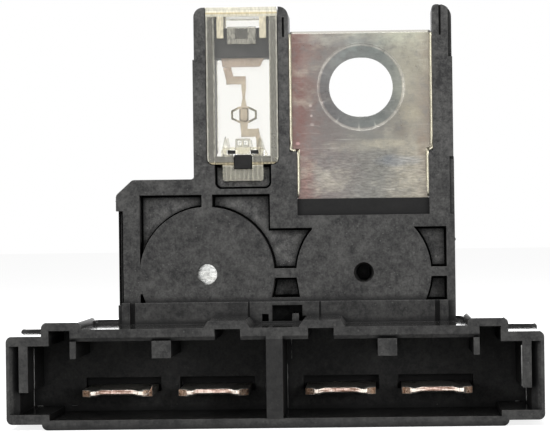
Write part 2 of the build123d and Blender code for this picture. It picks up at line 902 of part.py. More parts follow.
    # Pockets in the front face, bounded by the two round pads
    with BuildSketch(facing(body_depth)):
        tower_pocket = tower_right - tower_wall
        patch(pocket_left, web_place - web_width / 2, disc_level, pocket_top)
        patch(web_place + web_width / 2, tower_pocket, pocket_web_top, pocket_top)
        patch(tower_pocket, centre_step, pocket_web_top, pocket_mid)
        patch(right_disc_place, pocket_right, pocket_web_top, pocket_mid)
        patch(right_disc_place, pocket_right, apron_level, pocket_web_bottom)
        patch(pocket_left, pocket_left + apron_post_width, apron_level, apron_level + pocket_foot_rise)
        for place in (left_disc_place, right_disc_place):
            with Locations((place, disc_level)):
                Circle(disc_radius, mode=Mode.SUBTRACT)
    rearward(body_depth, body_depth + pocket_floor, mode=Mode.SUBTRACT)
    with BuildSketch(facing(body_depth)):
        with Locations((keyhole_neck_place, 0)):
            Polygon(
                (-keyhole_neck_half, pocket_web_bottom),
                (keyhole_neck_half, pocket_web_bottom),
                (keyhole_foot_half, apron_level + keyhole_foot_rise),
                (-keyhole_foot_half, apron_level + keyhole_foot_rise),
            )
    rearward(body_depth, body_depth + deep_pocket_floor, mode=Mode.SUBTRACT)
    with BuildSketch(facing(body_depth - apron_rise)):
        patch(keyhole_left, keyhole_right, shroud_height + collar_rise, keyhole_top)
        patch(stub_left, stub_right, shroud_height + collar_rise, stub_top, mode=Mode.SUBTRACT)
    rearward(body_depth - apron_rise, body_depth + deep_pocket_floor, mode=Mode.SUBTRACT)
    with BuildSketch(facing(body_depth - apron_rise)):
        patch(slit_left, slit_right, shroud_height + collar_rise, slit_top)
        patch(
            keyhole_right,
            keyhole_right + stub_notch_width,
            shroud_height + collar_rise,
            shroud_height + collar_rise + stub_notch_height,
        )
    rearward(body_depth - apron_rise, body_depth + pocket_floor, mode=Mode.SUBTRACT)

    # Holes left by the pins that held the inner plates in the mould
    with BuildSketch(facing(body_depth)):
        with Locations((left_disc_place, disc_level)):
            Circle(pin_hole_radius)
    rearward(body_depth, plate_front, mode=Mode.SUBTRACT)
    with BuildSketch(facing(body_depth)):
        with Locations((right_disc_place, disc_level)):
            Circle(pin_hole_radius)
    extrude(amount=-pin_hole_depth, taper=pin_hole_taper, mode=Mode.SUBTRACT)

    # Rabbets down the left edge and the post, and the grooves at the tops of tower and post
    with BuildSketch(facing(body_depth)):
        patch(body_left, body_left + rabbet_width, rabbet_bottom, rabbet_top)
    rearward(body_depth, body_depth + rabbet_depth, mode=Mode.SUBTRACT)
    post_edge = body_right - post_rabbet_width
    with BuildSketch(facing(body_depth)):
        patch(post_edge, body_right, upper_step_level, tower_top)
        patch(post_edge, body_right, lower_step_level - post_notch_height, lower_step_level)
    rearward(body_depth, body_depth + post_rabbet_depth, mode=Mode.SUBTRACT)
    with BuildSketch(facing(body_depth)):
        patch(post_edge, body_right, recess_level, lower_step_level)
    rearward(body_depth, body_depth + post_strip_depth, mode=Mode.SUBTRACT)
    with BuildSketch(facing(body_depth)):
        tower_groove = tower_right - tower_groove_inset
        post_groove = post_left + post_groove_inset
        groove_low = tower_top - top_groove_drop
        groove_high = tower_top - tower_groove_drop
        patch(tower_groove, tower_groove + top_groove_width, groove_low, groove_high)
        patch(post_groove, post_groove + top_groove_width, groove_low, tower_top)
    rearward(body_depth, body_depth + top_groove_depth, mode=Mode.SUBTRACT)

    # Pockets in the back face, in two rows
    with BuildSketch(facing(body_back)):
        pocket_step = rear_pocket_height + rear_pocket_rib
        half_rib = rear_pocket_rib / 2
        for row in (rear_pocket_bottom, rear_pocket_bottom + pocket_step):
            for x_low, x_high in (
                (body_left + rear_pocket_rib, left_disc_place - half_rib),
                (left_disc_place + half_rib, -half_rib),
                (half_rib, right_disc_place - half_rib),
                (right_disc_place + half_rib, body_right - rear_pocket_rib),
            ):
                patch(x_low, x_high, row, row + rear_pocket_height, radius=rear_pocket_corner)
    rearward(body_back, body_back - rear_pocket_depth, mode=Mode.SUBTRACT)

    # Window: seats for the two covers, the opening, the notch and the latch recesses
    for seat_front, seat_back in ((body_depth, web_front), (web_back, body_back)):
        with BuildSketch(facing(seat_front)):
            patch(
                recess_x_low,
                recess_x_high,
                cover_bottom - cover_clearance,
                tower_top + tower_corner,
                radius=cover_corner,
            )
        rearward(seat_front, seat_back, mode=Mode.SUBTRACT)
    with BuildSketch(facing(body_depth)):
        patch(recess_x_low, recess_x_high, tower_top - cover_flange, tower_top)
        patch(cover_place - notch_width / 2, cover_place + notch_width / 2, notch_level, tower_top)
        patch(
            cover_left + cover_rim_width,
            cover_right - cover_rim_width,
            cover_bottom + cover_rim_width,
            crossbar_level,
        )
    rearward(body_depth, body_back, mode=Mode.SUBTRACT)
    recess_half = tab_width / 2 + tab_recess_margin
    for seat_front, seat_back in (
        (body_depth, body_depth + tab_recess_depth),
        (body_back - tab_recess_depth, body_back),
    ):
        with BuildSketch(facing(seat_front)):
            patch(
                cover_place - recess_half,
                cover_place + recess_half,
                tab_bottom - tab_recess_margin,
                cover_bottom + cover_rim_width,
                radius=cover_corner,
            )
        rearward(seat_front, seat_back, mode=Mode.SUBTRACT)
        with BuildSketch(facing(seat_front)):
            patch(
                cover_place - hook_width / 2 + cover_clearance,
                cover_place + hook_width / 2 - cover_clearance,
                hook_bottom + cover_clearance,
                hook_top - cover_clearance,
            )
        rearward(seat_front, seat_back)

    # Beds of the metal that the housing is moulded round
    add(bus_bar.part, mode=Mode.SUBTRACT)
    add(load_plate.part, mode=Mode.SUBTRACT)
    add(main_fuse_link.part, mode=Mode.SUBTRACT)
    for terminal in terminals:
        add(terminal, mode=Mode.SUBTRACT)
housing.part.label = "housing"
export_step(housing.part, "parts/housing.step")
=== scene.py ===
"""Scene of the battery fuse unit: finishes, modelled details, floor, lamps and camera.

Lengths are in metres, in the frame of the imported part: X runs to the right along the sockets,
Y away from the viewer and Z up. A value written with MM or depth() is in metres. What goes through at(),
window(), a Zone or a Stain, and the sections of rods and mounds, is in plain millimetres.
"""

import logging
import math
import random
from collections.abc import Sequence
from dataclasses import dataclass
from enum import Enum

import bmesh
import bpy
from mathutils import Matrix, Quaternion, Vector


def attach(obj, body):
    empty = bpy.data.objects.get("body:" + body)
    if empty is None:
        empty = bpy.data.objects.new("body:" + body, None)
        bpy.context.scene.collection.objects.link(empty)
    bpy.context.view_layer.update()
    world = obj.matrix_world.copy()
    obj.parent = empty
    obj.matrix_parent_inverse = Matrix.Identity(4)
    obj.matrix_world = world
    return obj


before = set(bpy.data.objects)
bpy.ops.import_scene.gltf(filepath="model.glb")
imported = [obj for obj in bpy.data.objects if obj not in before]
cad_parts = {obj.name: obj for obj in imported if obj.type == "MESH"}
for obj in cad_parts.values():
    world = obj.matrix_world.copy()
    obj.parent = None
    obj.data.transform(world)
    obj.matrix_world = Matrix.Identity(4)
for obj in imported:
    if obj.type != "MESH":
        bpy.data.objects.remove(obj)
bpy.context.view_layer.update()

log = logging.getLogger("fuse_unit")

MM = 0.001
RIM_Y = -13.5 * MM
# In millimetres: the covers' middle, the depth of the sockets' back wall and that of the painted highlight
# rods along it
COVER_MIDDLE = -4.62
SOCKET_END = 20.0
WALL_DEEP = 19.93
# In pixels: the camera's focal length and the picture's width
FOCAL_PIXELS = 3030.0
PICTURE_PIXELS = 550.0
Colour = tuple[float, float, float]
Point = tuple[float, float, float]
Pair = tuple[float, float]
Stops = tuple[tuple[float, Colour], ...]
Box = tuple[tuple[float | None, float | None], tuple[float | None, float | None]]
Socket = bpy.types.NodeSocket
Material = bpy.types.Material
Mesh = bmesh.types.BMesh
ORIGIN: Point = (0.0, 0.0, 0.0)


def depth(millimetres: float) -> float:
    """Returns the Y of a depth behind the sockets' rim, which is given in millimetres."""
    return RIM_Y + millimetres * MM


def at(across: float, deep: float, up: float) -> Vector:
    """Returns a place that is given in millimetres, with its depth behind the rim."""
    return Vector((across * MM, depth(deep), up * MM))


# Node work


class Bench:
    """Places nodes in one tree and joins them as it goes."""

    def __init__(self, tree: bpy.types.NodeTree, shelf: "EffectShelf | None" = None) -> None:
        """Takes the tree to work in and the shared effects."""
        self.tree = tree
        self.shelf = shelf
        self.shader: bpy.types.Node | None = None
        self.count = 0

    def put(self, kind: str, inputs: dict | None = None, **settings) -> bpy.types.Node:
        """Adds one node.

        Args:
            kind: the node's type, without the start that all shader nodes share.
            inputs: a value or a socket for each input that is set, by name or number.
            settings: the node's own options.

        Returns:
            The new node.
        """
        node = self.tree.nodes.new("ShaderNode" + kind)
        node.location = (200.0 * (self.count % 12), -260.0 * (self.count // 12))
        self.count += 1
        for option, value in settings.items():
            setattr(node, option, value)
        for key, value in (inputs or {}).items():
            self.feed(node.inputs[key], value)
        return node

    def feed(self, socket: Socket, value: object) -> None:
        """Links a socket to an input, or sets the input where the value is plain."""
        if isinstance(value, Socket):
            self.tree.links.new(value, socket)
        elif socket.type == "RGBA" and len(value) == 3:
            socket.default_value = (*value, 1.0)
        else:
            socket.default_value = value

    def sum(self, operation: str, first: object, second: object = 0.0, third: object = 0.0) -> Socket:
        """Returns the result of one Math node."""
        node = self.put("Math", {0: first, 1: second, 2: third}, operation=operation)
        return node.outputs[0]

    def times(self, first: object, second: object) -> Socket:
        """Returns the product of two values."""
        return self.sum("MULTIPLY", first, second)

    def scaled(self, first: object, share: object, more: object) -> Socket:
        """Returns a share of a value, added to another."""
        return self.sum("MULTIPLY_ADD", first, share, more)

    def minus(self, first: object, second: object) -> Socket:
        """Returns the difference of two values."""
        return self.sum("SUBTRACT", first, second)

    def larger(self, first: object, second: object) -> Socket:
        """Returns the larger of two values."""
        return self.sum("MAXIMUM", first, second)

    def aside(self, value: object, middle: object = 0.0) -> Socket:
        """Returns how far a value is from a middle, on either side."""
        return self.sum("ABSOLUTE", self.minus(value, middle) if middle else value)

    def grade(self, noise: object, low: float, high: float) -> Socket:
        """Returns a noise whose usual span, 0.3 to 0.7, is stretched to another."""
        return self.span(noise, 0.3, 0.7, low, high)

    def dimmed(self, colour: object, gain: object) -> Socket:
        """Returns a colour times a value."""
        return self.put("VectorMath", {0: colour, 3: gain}, operation="SCALE").outputs[0]

    def effect(self, effect: "Effect", **inputs) -> bpy.types.NodeOutputs:
        """Places one of the shared effects and returns its outputs."""
        return self.shelf.use(self, effect, **inputs)

    def give(self, name: str, value: object) -> None:
        """Sets or links an input of the material's shader."""
        self.feed(self.shader.inputs[name], value)

    def bump(self, height: object, deep: float, normal: object = None, strength: object = 1.0) -> None:
        """Gives the shader a bump.

        Args:
            height: the height's socket, 0 to 1.
            deep: how deep a height of 1 is, in metres.
            normal: a rounded normal to start from.
            strength: how much of the bump shows, 0 to 1.
        """
        inputs = {"Height": height, "Distance": deep, "Strength": strength}
        if normal is not None:
            inputs["Normal"] = normal
        self.give("Normal", self.put("Bump", inputs).outputs[0])

    def span(
        self, value: object, low: float, high: float, to_low: float = 0.0, to_high: float = 1.0
    ) -> Socket:
        """Returns a value stretched from one span to another and held at its ends."""
        inputs = {"Value": value, "From Min": low, "From Max": high, "To Min": to_low, "To Max": to_high}
        return self.put("MapRange", inputs).outputs["Result"]

    def blend(self, share: object, first: object, second: object, way: str = "MIX") -> Socket:
        """Returns the mix of two colours.

        Args:
            share: how much of the second colour, 0 to 1.
            first: the colour below.
            second: the colour above.
            way: the blend type.

        Returns:
            The colour's socket.
        """
        node = self.put("Mix", {0: share, 6: first, 7: second}, data_type="RGBA", blend_type=way)
        return node.outputs[2]

    def ramp(self, value: object, stops: Stops, smooth: bool = True) -> Socket:
        """Returns a colour that is read from a row of stops.

        Args:
            value: where to read, 0 to 1.
            stops: places and their colours.
            smooth: whether the colours run softly into each other.

        Returns:
            The colour's socket.
        """
        node = self.put("ValToRGB", {0: value})
        node.color_ramp.interpolation = "EASE" if smooth else "LINEAR"
        marks = node.color_ramp.elements
        while len(marks) < len(stops):
            marks.new(0.5)
        for mark, (place, colour) in zip(marks, stops):
            mark.position = place
            mark.color = (*colour, 1.0)
        return node.outputs["Color"]

    def noise(self, vector: object, scale: object, detail: float = 3.0, rough: float = 0.55) -> Socket:
        """Returns a noise's value, 0 to 1."""
        inputs = {"Vector": vector, "Scale": scale, "Detail": detail, "Roughness": rough}
        return self.put("TexNoise", inputs).outputs[0]

    def place(self) -> Socket:
        """Returns the surface's place in the frame, in metres."""
        return self.put("TexCoord").outputs["Object"]

    def stretch(self, vector: object, scale: Point, turn: Point = ORIGIN) -> Socket:
        """Returns a place that is turned and stretched."""
        return self.put("Mapping", {"Vector": vector, "Rotation": turn, "Scale": scale}).outputs[0]

    def parts(self, vector: object) -> tuple[Socket, ...]:
        """Returns the three parts of a vector."""
        return tuple(self.put("SeparateXYZ", {0: vector}).outputs)

    def within(self, value: object, low: float | None, high: float | None, soft: float = 0.04 * MM) -> object:
        """Returns 1 where a value lies between two limits and 0 elsewhere. A limit of None is open."""
        masks = []
        if low is not None:
            masks.append(self.span(value, low - soft, low + soft))
        if high is not None:
            masks.append(self.span(value, high + soft, high - soft))
        return self.product(masks)

    def window(self, across: object, up: object, box: Box) -> Socket:
        """Returns 1 where two values lie inside a box, which is given in millimetres."""
        spans = [[None if limit is None else limit * MM for limit in limits] for limits in box]
        return self.times(self.within(across, *spans[0]), self.within(up, *spans[1]))

    def flow(
        self, place: object, scale: Point, fine: float, detail: float, rough: float, turn: Point = ORIGIN
    ) -> Socket:
        """Returns a noise that is drawn out along the axes with a small scale."""
        return self.noise(self.stretch(place, scale, turn), fine, detail, rough)

    def product(self, masks: Sequence[object]) -> object:
        """Returns the product of masks."""
        result = masks[0] if masks else 1.0
        for mask in masks[1:]:
            result = self.times(result, mask)
        return result


class Effect(Enum):
    """The shared effects: each one's name, its inputs with their first values, and its outputs."""

    WORN_EDGES = ("worn_edges", {"Reach": 0.0001, "Chip Scale": 900.0, "Breaks": 0.8}, ("Mask", "Normal"))
    GRAIN = (
        "moulded_grain",
        {"Place": ORIGIN, "Scale": 4000.0, "Fibre Scale": 2600.0},
        ("Height", "Tone", "Fibres"),
    )
    SCRATCHES = ("fine_scratches", {"Place": ORIGIN, "Scale": 2500.0, "Cover": 0.4}, ("Mask",))
    SPECKS = ("pale_specks", {"Place": ORIGIN, "Scale": 2200.0, "Spare": 0.7}, ("Mask",))
    CLOUDS = ("soft_clouds", {"Place": ORIGIN, "Scale": 250.0}, ("Tone",))
    CREVICES = ("crevices", {"Reach": 0.0006, "Full": 0.55, "Clean": 0.95}, ("Mask",))


class EffectShelf:
    """Builds each shared effect once, as a node group, and places it where a finish asks."""

    def __init__(self) -> None:
        """Starts with no group built."""
        self.groups: dict[Effect, bpy.types.NodeTree] = {}

    def use(self, bench: Bench, effect: Effect, **inputs) -> bpy.types.NodeOutputs:
        """Places an effect in a material.

        Args:
            bench: where the material's nodes are.
            effect: the effect wanted.
            inputs: a value or a socket for each of its inputs.

        Returns:
            The group node's outputs.
        """
        if effect not in self.groups:
            self.groups[effect] = self.group(effect)
        node = bench.put("Group", node_tree=self.groups[effect])
        for name, value in inputs.items():
            bench.feed(node.inputs[name.replace("_", " ").title()], value)
        return node.outputs

    def group(self, effect: Effect) -> bpy.types.NodeTree:
        """Makes the node group of one effect."""
        name, inlets, outlets = effect.value
        tree = bpy.data.node_groups.new(name, "ShaderNodeTree")
        for inlet, value in inlets.items():
            kind = "NodeSocketVector" if isinstance(value, tuple) else "NodeSocketFloat"
            tree.interface.new_socket(name=inlet, in_out="INPUT", socket_type=kind).default_value = value
        for outlet in outlets:
            kind = "NodeSocketVector" if outlet == "Normal" else "NodeSocketFloat"
            tree.interface.new_socket(name=outlet, in_out="OUTPUT", socket_type=kind)
        entry = tree.nodes.new("NodeGroupInput")
        leave = tree.nodes.new("NodeGroupOutput")
        entry.location, leave.location = (-300.0, 0.0), (2600.0, 0.0)
        wire = getattr(self, "wire_" + name)
        for outlet, socket in wire(Bench(tree), entry.outputs).items():
            tree.links.new(socket, leave.inputs[outlet])
        return tree

    def wire_worn_edges(self, bench: Bench, ins: object) -> dict[str, Socket]:
        """Makes a mask along edges, broken up by noise, and a normal that rounds them."""
        rounded = bench.put("Bevel", {"Radius": ins["Reach"]}, samples=5).outputs[0]
        flat = bench.put("NewGeometry").outputs["Normal"]
        alike = bench.put("VectorMath", {0: rounded, 1: flat}, operation="DOT_PRODUCT").outputs["Value"]
        edge = bench.span(alike, 0.99, 0.8)
        chips = bench.span(bench.noise(bench.place(), ins["Chip Scale"], 4.0, 0.65), 0.38, 0.62)
        keep = bench.minus(1.0, ins["Breaks"])
        return {"Mask": bench.times(edge, bench.larger(chips, keep)), "Normal": rounded}

    def wire_moulded_grain(self, bench: Bench, ins: object) -> dict[str, Socket]:
        """Makes fine grain with faint fibres that lie along the flow of the plastic."""
        fine = bench.noise(ins["Place"], ins["Scale"], 5.0, 0.7)
        along = bench.stretch(ins["Place"], (1.0, 1.0, 0.14))
        fibres = bench.span(bench.noise(along, ins["Fibre Scale"], 2.0, 0.5), 0.56, 0.78)
        across = bench.stretch(ins["Place"], (0.16, 1.0, 1.0), (0.0, 0.35, 0.0))
        threads = bench.span(bench.noise(across, ins["Fibre Scale"], 2.0, 0.5), 0.58, 0.8)
        lines = bench.larger(fibres, threads)
        return {"Height": bench.scaled(lines, 0.35, fine), "Tone": fine, "Fibres": lines}

    def wire_fine_scratches(self, bench: Bench, ins: object) -> dict[str, Socket]:
        """Makes thin scratches that run mostly one way, with a few that cross them."""
        sway = bench.times(bench.noise(ins["Place"], 260.0, 2.0, 0.5), 0.0006)
        swayed = bench.put("VectorMath", {0: ins["Place"], 1: sway}, operation="ADD").outputs[0]
        long = bench.stretch(swayed, (0.05, 1.0, 1.0))
        lines = bench.span(bench.noise(long, ins["Scale"], 2.0, 0.6), 0.62, 0.7)
        crossed = bench.stretch(ins["Place"], (0.05, 1.0, 1.0), (0.0, 0.9, 0.0))
        others = bench.span(bench.noise(crossed, ins["Scale"], 1.0, 0.5), 0.68, 0.76, 0.0, 0.7)
        where = bench.span(bench.noise(ins["Place"], 190.0, 2.0, 0.5), ins["Cover"], 0.75)
        return {"Mask": bench.times(bench.larger(lines, others), where)}

    def wire_pale_specks(self, bench: Bench, ins: object) -> dict[str, Socket]:
        """Makes small scattered specks, such as dust in the grain."""
        cells = bench.put("TexVoronoi", {"Vector": ins["Place"], "Scale": ins["Scale"]})
        chance = bench.put("SeparateColor", {0: cells.outputs["Color"]}).outputs[0]
        size = bench.span(chance, ins["Spare"], 1.0, 0.0, 0.3)
        dots = bench.sum("LESS_THAN", cells.outputs["Distance"], size)
        fade = bench.span(bench.noise(ins["Place"], 220.0, 2.0, 0.6), 0.4, 0.7)
        return {"Mask": bench.times(dots, fade)}

    def wire_soft_clouds(self, bench: Bench, ins: object) -> dict[str, Socket]:
        """Makes broad soft patches, from -1 to 1, in two sizes."""
        broad = bench.noise(ins["Place"], ins["Scale"], 2.0, 0.5)
        small = bench.noise(ins["Place"], bench.times(ins["Scale"], 3.7), 3.0, 0.6)
        both = bench.scaled(small, 0.45, bench.times(broad, 0.55))
        return {"Tone": bench.span(both, 0.34, 0.66, -1.0, 1.0)}

    def wire_crevices(self, bench: Bench, ins: object) -> dict[str, Socket]:
        """Makes a mask of inner corners, for painted shade that darkens them."""
        free = bench.put("AmbientOcclusion", {"Distance": ins["Reach"]}, samples=5).outputs["AO"]
        return {"Mask": bench.span(free, ins["Clean"], ins["Full"])}


# Finishes


class Finish:
    """What all finishes share: one material, made with the shared effects."""

    name: str

    def make(self, shelf: EffectShelf) -> Material:
        """Makes the material.

        Args:
            shelf: the shared effects.

        Returns:
            The new material.
        """
        material = bpy.data.materials.new(self.name)
        material.use_nodes = True
        material.node_tree.nodes.clear()
        bench = Bench(material.node_tree, shelf)
        bench.shader = bench.put("BsdfPrincipled")
        bench.put("OutputMaterial", {"Surface": bench.shader.outputs[0]})
        self.wire(bench)
        return material

    def wire(self, bench: Bench) -> None:
        """Joins the material's own nodes. Each finish has its own."""
        raise NotImplementedError


@dataclass(frozen=True)
class PaintedLightZone:
    """A box of the moulding, in millimetres, whose colour is scaled: painted light where the gain is above 1,
    painted shade where it is below 1.
    """

    gain: float
    across: tuple[float | None, float | None] = (None, None)
    deep: tuple[float | None, float | None] = (None, None)
    up: tuple[float | None, float | None] = (None, None)

    def mask(self, bench: Bench, place: Sequence[object]) -> object:
        """Returns 1 inside the box.

        Args:
            bench: where the nodes are.
            place: the three parts of the surface's place.

        Returns:
            The mask's socket.
        """
        spans = (
            [None if limit is None else limit * MM for limit in self.across],
            [None if limit is None else depth(limit) for limit in self.deep],
            [None if limit is None else limit * MM for limit in self.up],
        )
        limited = [(part, span) for part, span in zip(place, spans) if span != [None, None]]
        return bench.product([bench.within(part, *span) for part, span in limited])


@dataclass(frozen=True)
class MouldedNylon(Finish):
    """Black glass-filled moulding: dull, slightly mottled, with paler worn edges that carry a painted
    highlight, and painted light and shade in set boxes and in inner corners.
    """

    name: str = "moulded_nylon"
    deep_tone: Colour = (0.016, 0.016, 0.0163)
    pale_tone: Colour = (0.078, 0.077, 0.0745)
    shade_tone: Colour = (0.0012, 0.0012, 0.0014)
    rubbed_tone: Colour = (0.16, 0.158, 0.15)
    speck_tone: Colour = (0.2, 0.2, 0.19)
    roughness: float = 0.52
    grazing_roughness: float = 0.07
    gloss_level: float = 0.2
    cloud_share: float = 0.36
    blotch_share: float = 0.3
    fibre_share: float = 0.08
    edge_wear_and_highlight_share: float = 0.42
    speck_share: float = 0.45
    crevice_shade_share: float = 0.95
    crevice_shade_reach: float = 1.0 * MM
    relief: float = 0.02 * MM
    # Painted light and shade: each box scales the colour, above 1 as painted light, as on the pocket floors,
    # below 1 as painted shade, as inside the sockets and under the bar.
    painted_light_zones: tuple[PaintedLightZone, ...] = (
        PaintedLightZone(2.8, across=(-20.5, 23.6), deep=(20.2, 23.0), up=(16.2, 33.0)),
        PaintedLightZone(1.8, across=(-3.5, 4.6), deep=(20.2, 23.0), up=(16.2, 20.2)),
        PaintedLightZone(5.6, across=(-8.8, -0.5), deep=(19.1, 19.78), up=(31.2, 35.6)),
        PaintedLightZone(2.0, across=(-9.2, -0.2), deep=(19.0, 26.0), up=(49.0, 53.0)),
        PaintedLightZone(0.08, across=(2.7, 21.2), deep=(18.4, 19.6), up=(27.9, 30.6)),
        PaintedLightZone(0.7, deep=(None, 0.5)),
        PaintedLightZone(0.36, across=(-1.4, 1.4), deep=(None, 0.5), up=(1.2, 11.8)),
        PaintedLightZone(0.24, across=(-34.8, 34.8), deep=(0.5, 19.7), up=(1.0, 12.2)),
        PaintedLightZone(0.62, across=(-34.8, 34.8), deep=(19.7, 20.2), up=(1.0, 12.2)),
        PaintedLightZone(0.05, across=(-34.8, 34.8), deep=(20.2, 23.0), up=(1.0, 12.2)),
        PaintedLightZone(1.2, up=(34.0, None)),
        PaintedLightZone(0.66, across=(-22.1, 24.3), deep=(15.0, 19.0), up=(13.4, 16.2)),
        PaintedLightZone(0.7, deep=(0.4, 14.8), up=(12.5, 13.6)),
        PaintedLightZone(0.3, across=(-26.15, -25.2), deep=(0.4, 21.8), up=(13.4, 14.4)),
        PaintedLightZone(0.3, across=(25.2, 26.15), deep=(0.4, 21.8), up=(13.4, 14.4)),
        PaintedLightZone(0.1, across=(-5.95, -3.3), deep=(17.5, 19.9), up=(34.5, 36.8)),
    )

    def wire(self, bench: Bench) -> None:
        """Joins clouds, grain, fibres, specks, worn edges with a painted highlight, boxes of painted light
        and shade, and painted shade in inner corners.
        """
        place = bench.place()
        clouds = bench.effect(Effect.CLOUDS, place=place, scale=260.0)["Tone"]
        grain = bench.effect(Effect.GRAIN, place=place, scale=3600.0, fibre_scale=2300.0)
        worn = bench.effect(Effect.WORN_EDGES, reach=0.00013, chip_scale=700.0, breaks=0.75)
        specks = bench.effect(Effect.SPECKS, place=place, scale=2600.0, spare=0.72)["Mask"]
        blotches = bench.grade(bench.noise(place, 1300.0, 3.0, 0.65), -1.0, 1.0)
        fine = bench.grade(grain["Tone"], 0.1, 0.8)
        mixed = bench.scaled(blotches, self.blotch_share, fine)
        tone = bench.scaled(clouds, self.cloud_share, mixed)
        body = bench.blend(tone, self.deep_tone, self.pale_tone)
        threaded = bench.blend(bench.times(grain["Fibres"], self.fibre_share), body, self.rubbed_tone)
        # The edges are paler: partly wear, partly a painted highlight.
        edges_worn_and_lit = bench.blend(bench.times(worn["Mask"], self.edge_wear_and_highlight_share), threaded, self.rubbed_tone)
        dusted = bench.blend(bench.times(specks, self.speck_share), edges_worn_and_lit, self.speck_tone)
        gain = 1.0
        spots = bench.parts(place)
        # Painted light and shade, box by box.
        for light_zone in self.painted_light_zones:
            share = light_zone.mask(bench, spots)
            gain = bench.times(gain, bench.scaled(share, light_zone.gain - 1.0, 1.0))
        toned = bench.dimmed(dusted, gain)
        # Painted shade: inner corners are darkened towards the shade tone.
        crevices = bench.effect(Effect.CREVICES, reach=self.crevice_shade_reach, full=0.73, clean=0.87)["Mask"]
        shaded = bench.blend(bench.times(crevices, self.crevice_shade_share), toned, self.shade_tone)
        bench.give("Base Color", shaded)
        bench.give("Specular IOR Level", self.gloss_level)
        upward = bench.span(bench.parts(bench.put("TexCoord").outputs["Normal"])[2], 0.95, 0.99)
        slant = bench.span(bench.put("LayerWeight", {"Blend": 0.5}).outputs["Facing"], 0.88, 0.96)
        grazing = bench.times(slant, upward)
        matt = bench.span(grain["Tone"], 0.2, 0.8, self.roughness - 0.08, self.roughness + 0.12)
        gloss = bench.put("Mix", {0: grazing, 2: matt, 3: self.grazing_roughness}).outputs[0]
        bench.give("Roughness", gloss)
        calm = bench.minus(1.0, grazing)
        bench.bump(grain["Height"], self.relief, worn["Normal"], calm)


@dataclass(frozen=True)
class Stain:
    """One ragged patch on a flat plate, in millimetres, with its own tone."""

    across: float
    up: float
    half_width: float
    half_height: float
    tone: Colour
    strength: float

    def lay(self, bench: Bench, place: Sequence[object], ragged: object, below: object) -> object:
        """Lays the patch over a colour.

        Args:
            bench: where the nodes are.
            place: the three parts of the surface's place.
            ragged: noise from -1 to 1 that breaks up the patch's edge.
            below: the colour that it lies on.

        Returns:
            The new colour's socket.
        """
        aside = bench.sum("DIVIDE", bench.minus(place[0], self.across * MM), self.half_width * MM)
        above = bench.sum("DIVIDE", bench.minus(place[2], self.up * MM), self.half_height * MM)
        square = bench.scaled(above, above, bench.times(aside, aside))
        share = bench.span(bench.scaled(ragged, 0.5, square), 1.15, 0.1, 0.0, self.strength)
        return bench.blend(share, below, self.tone)


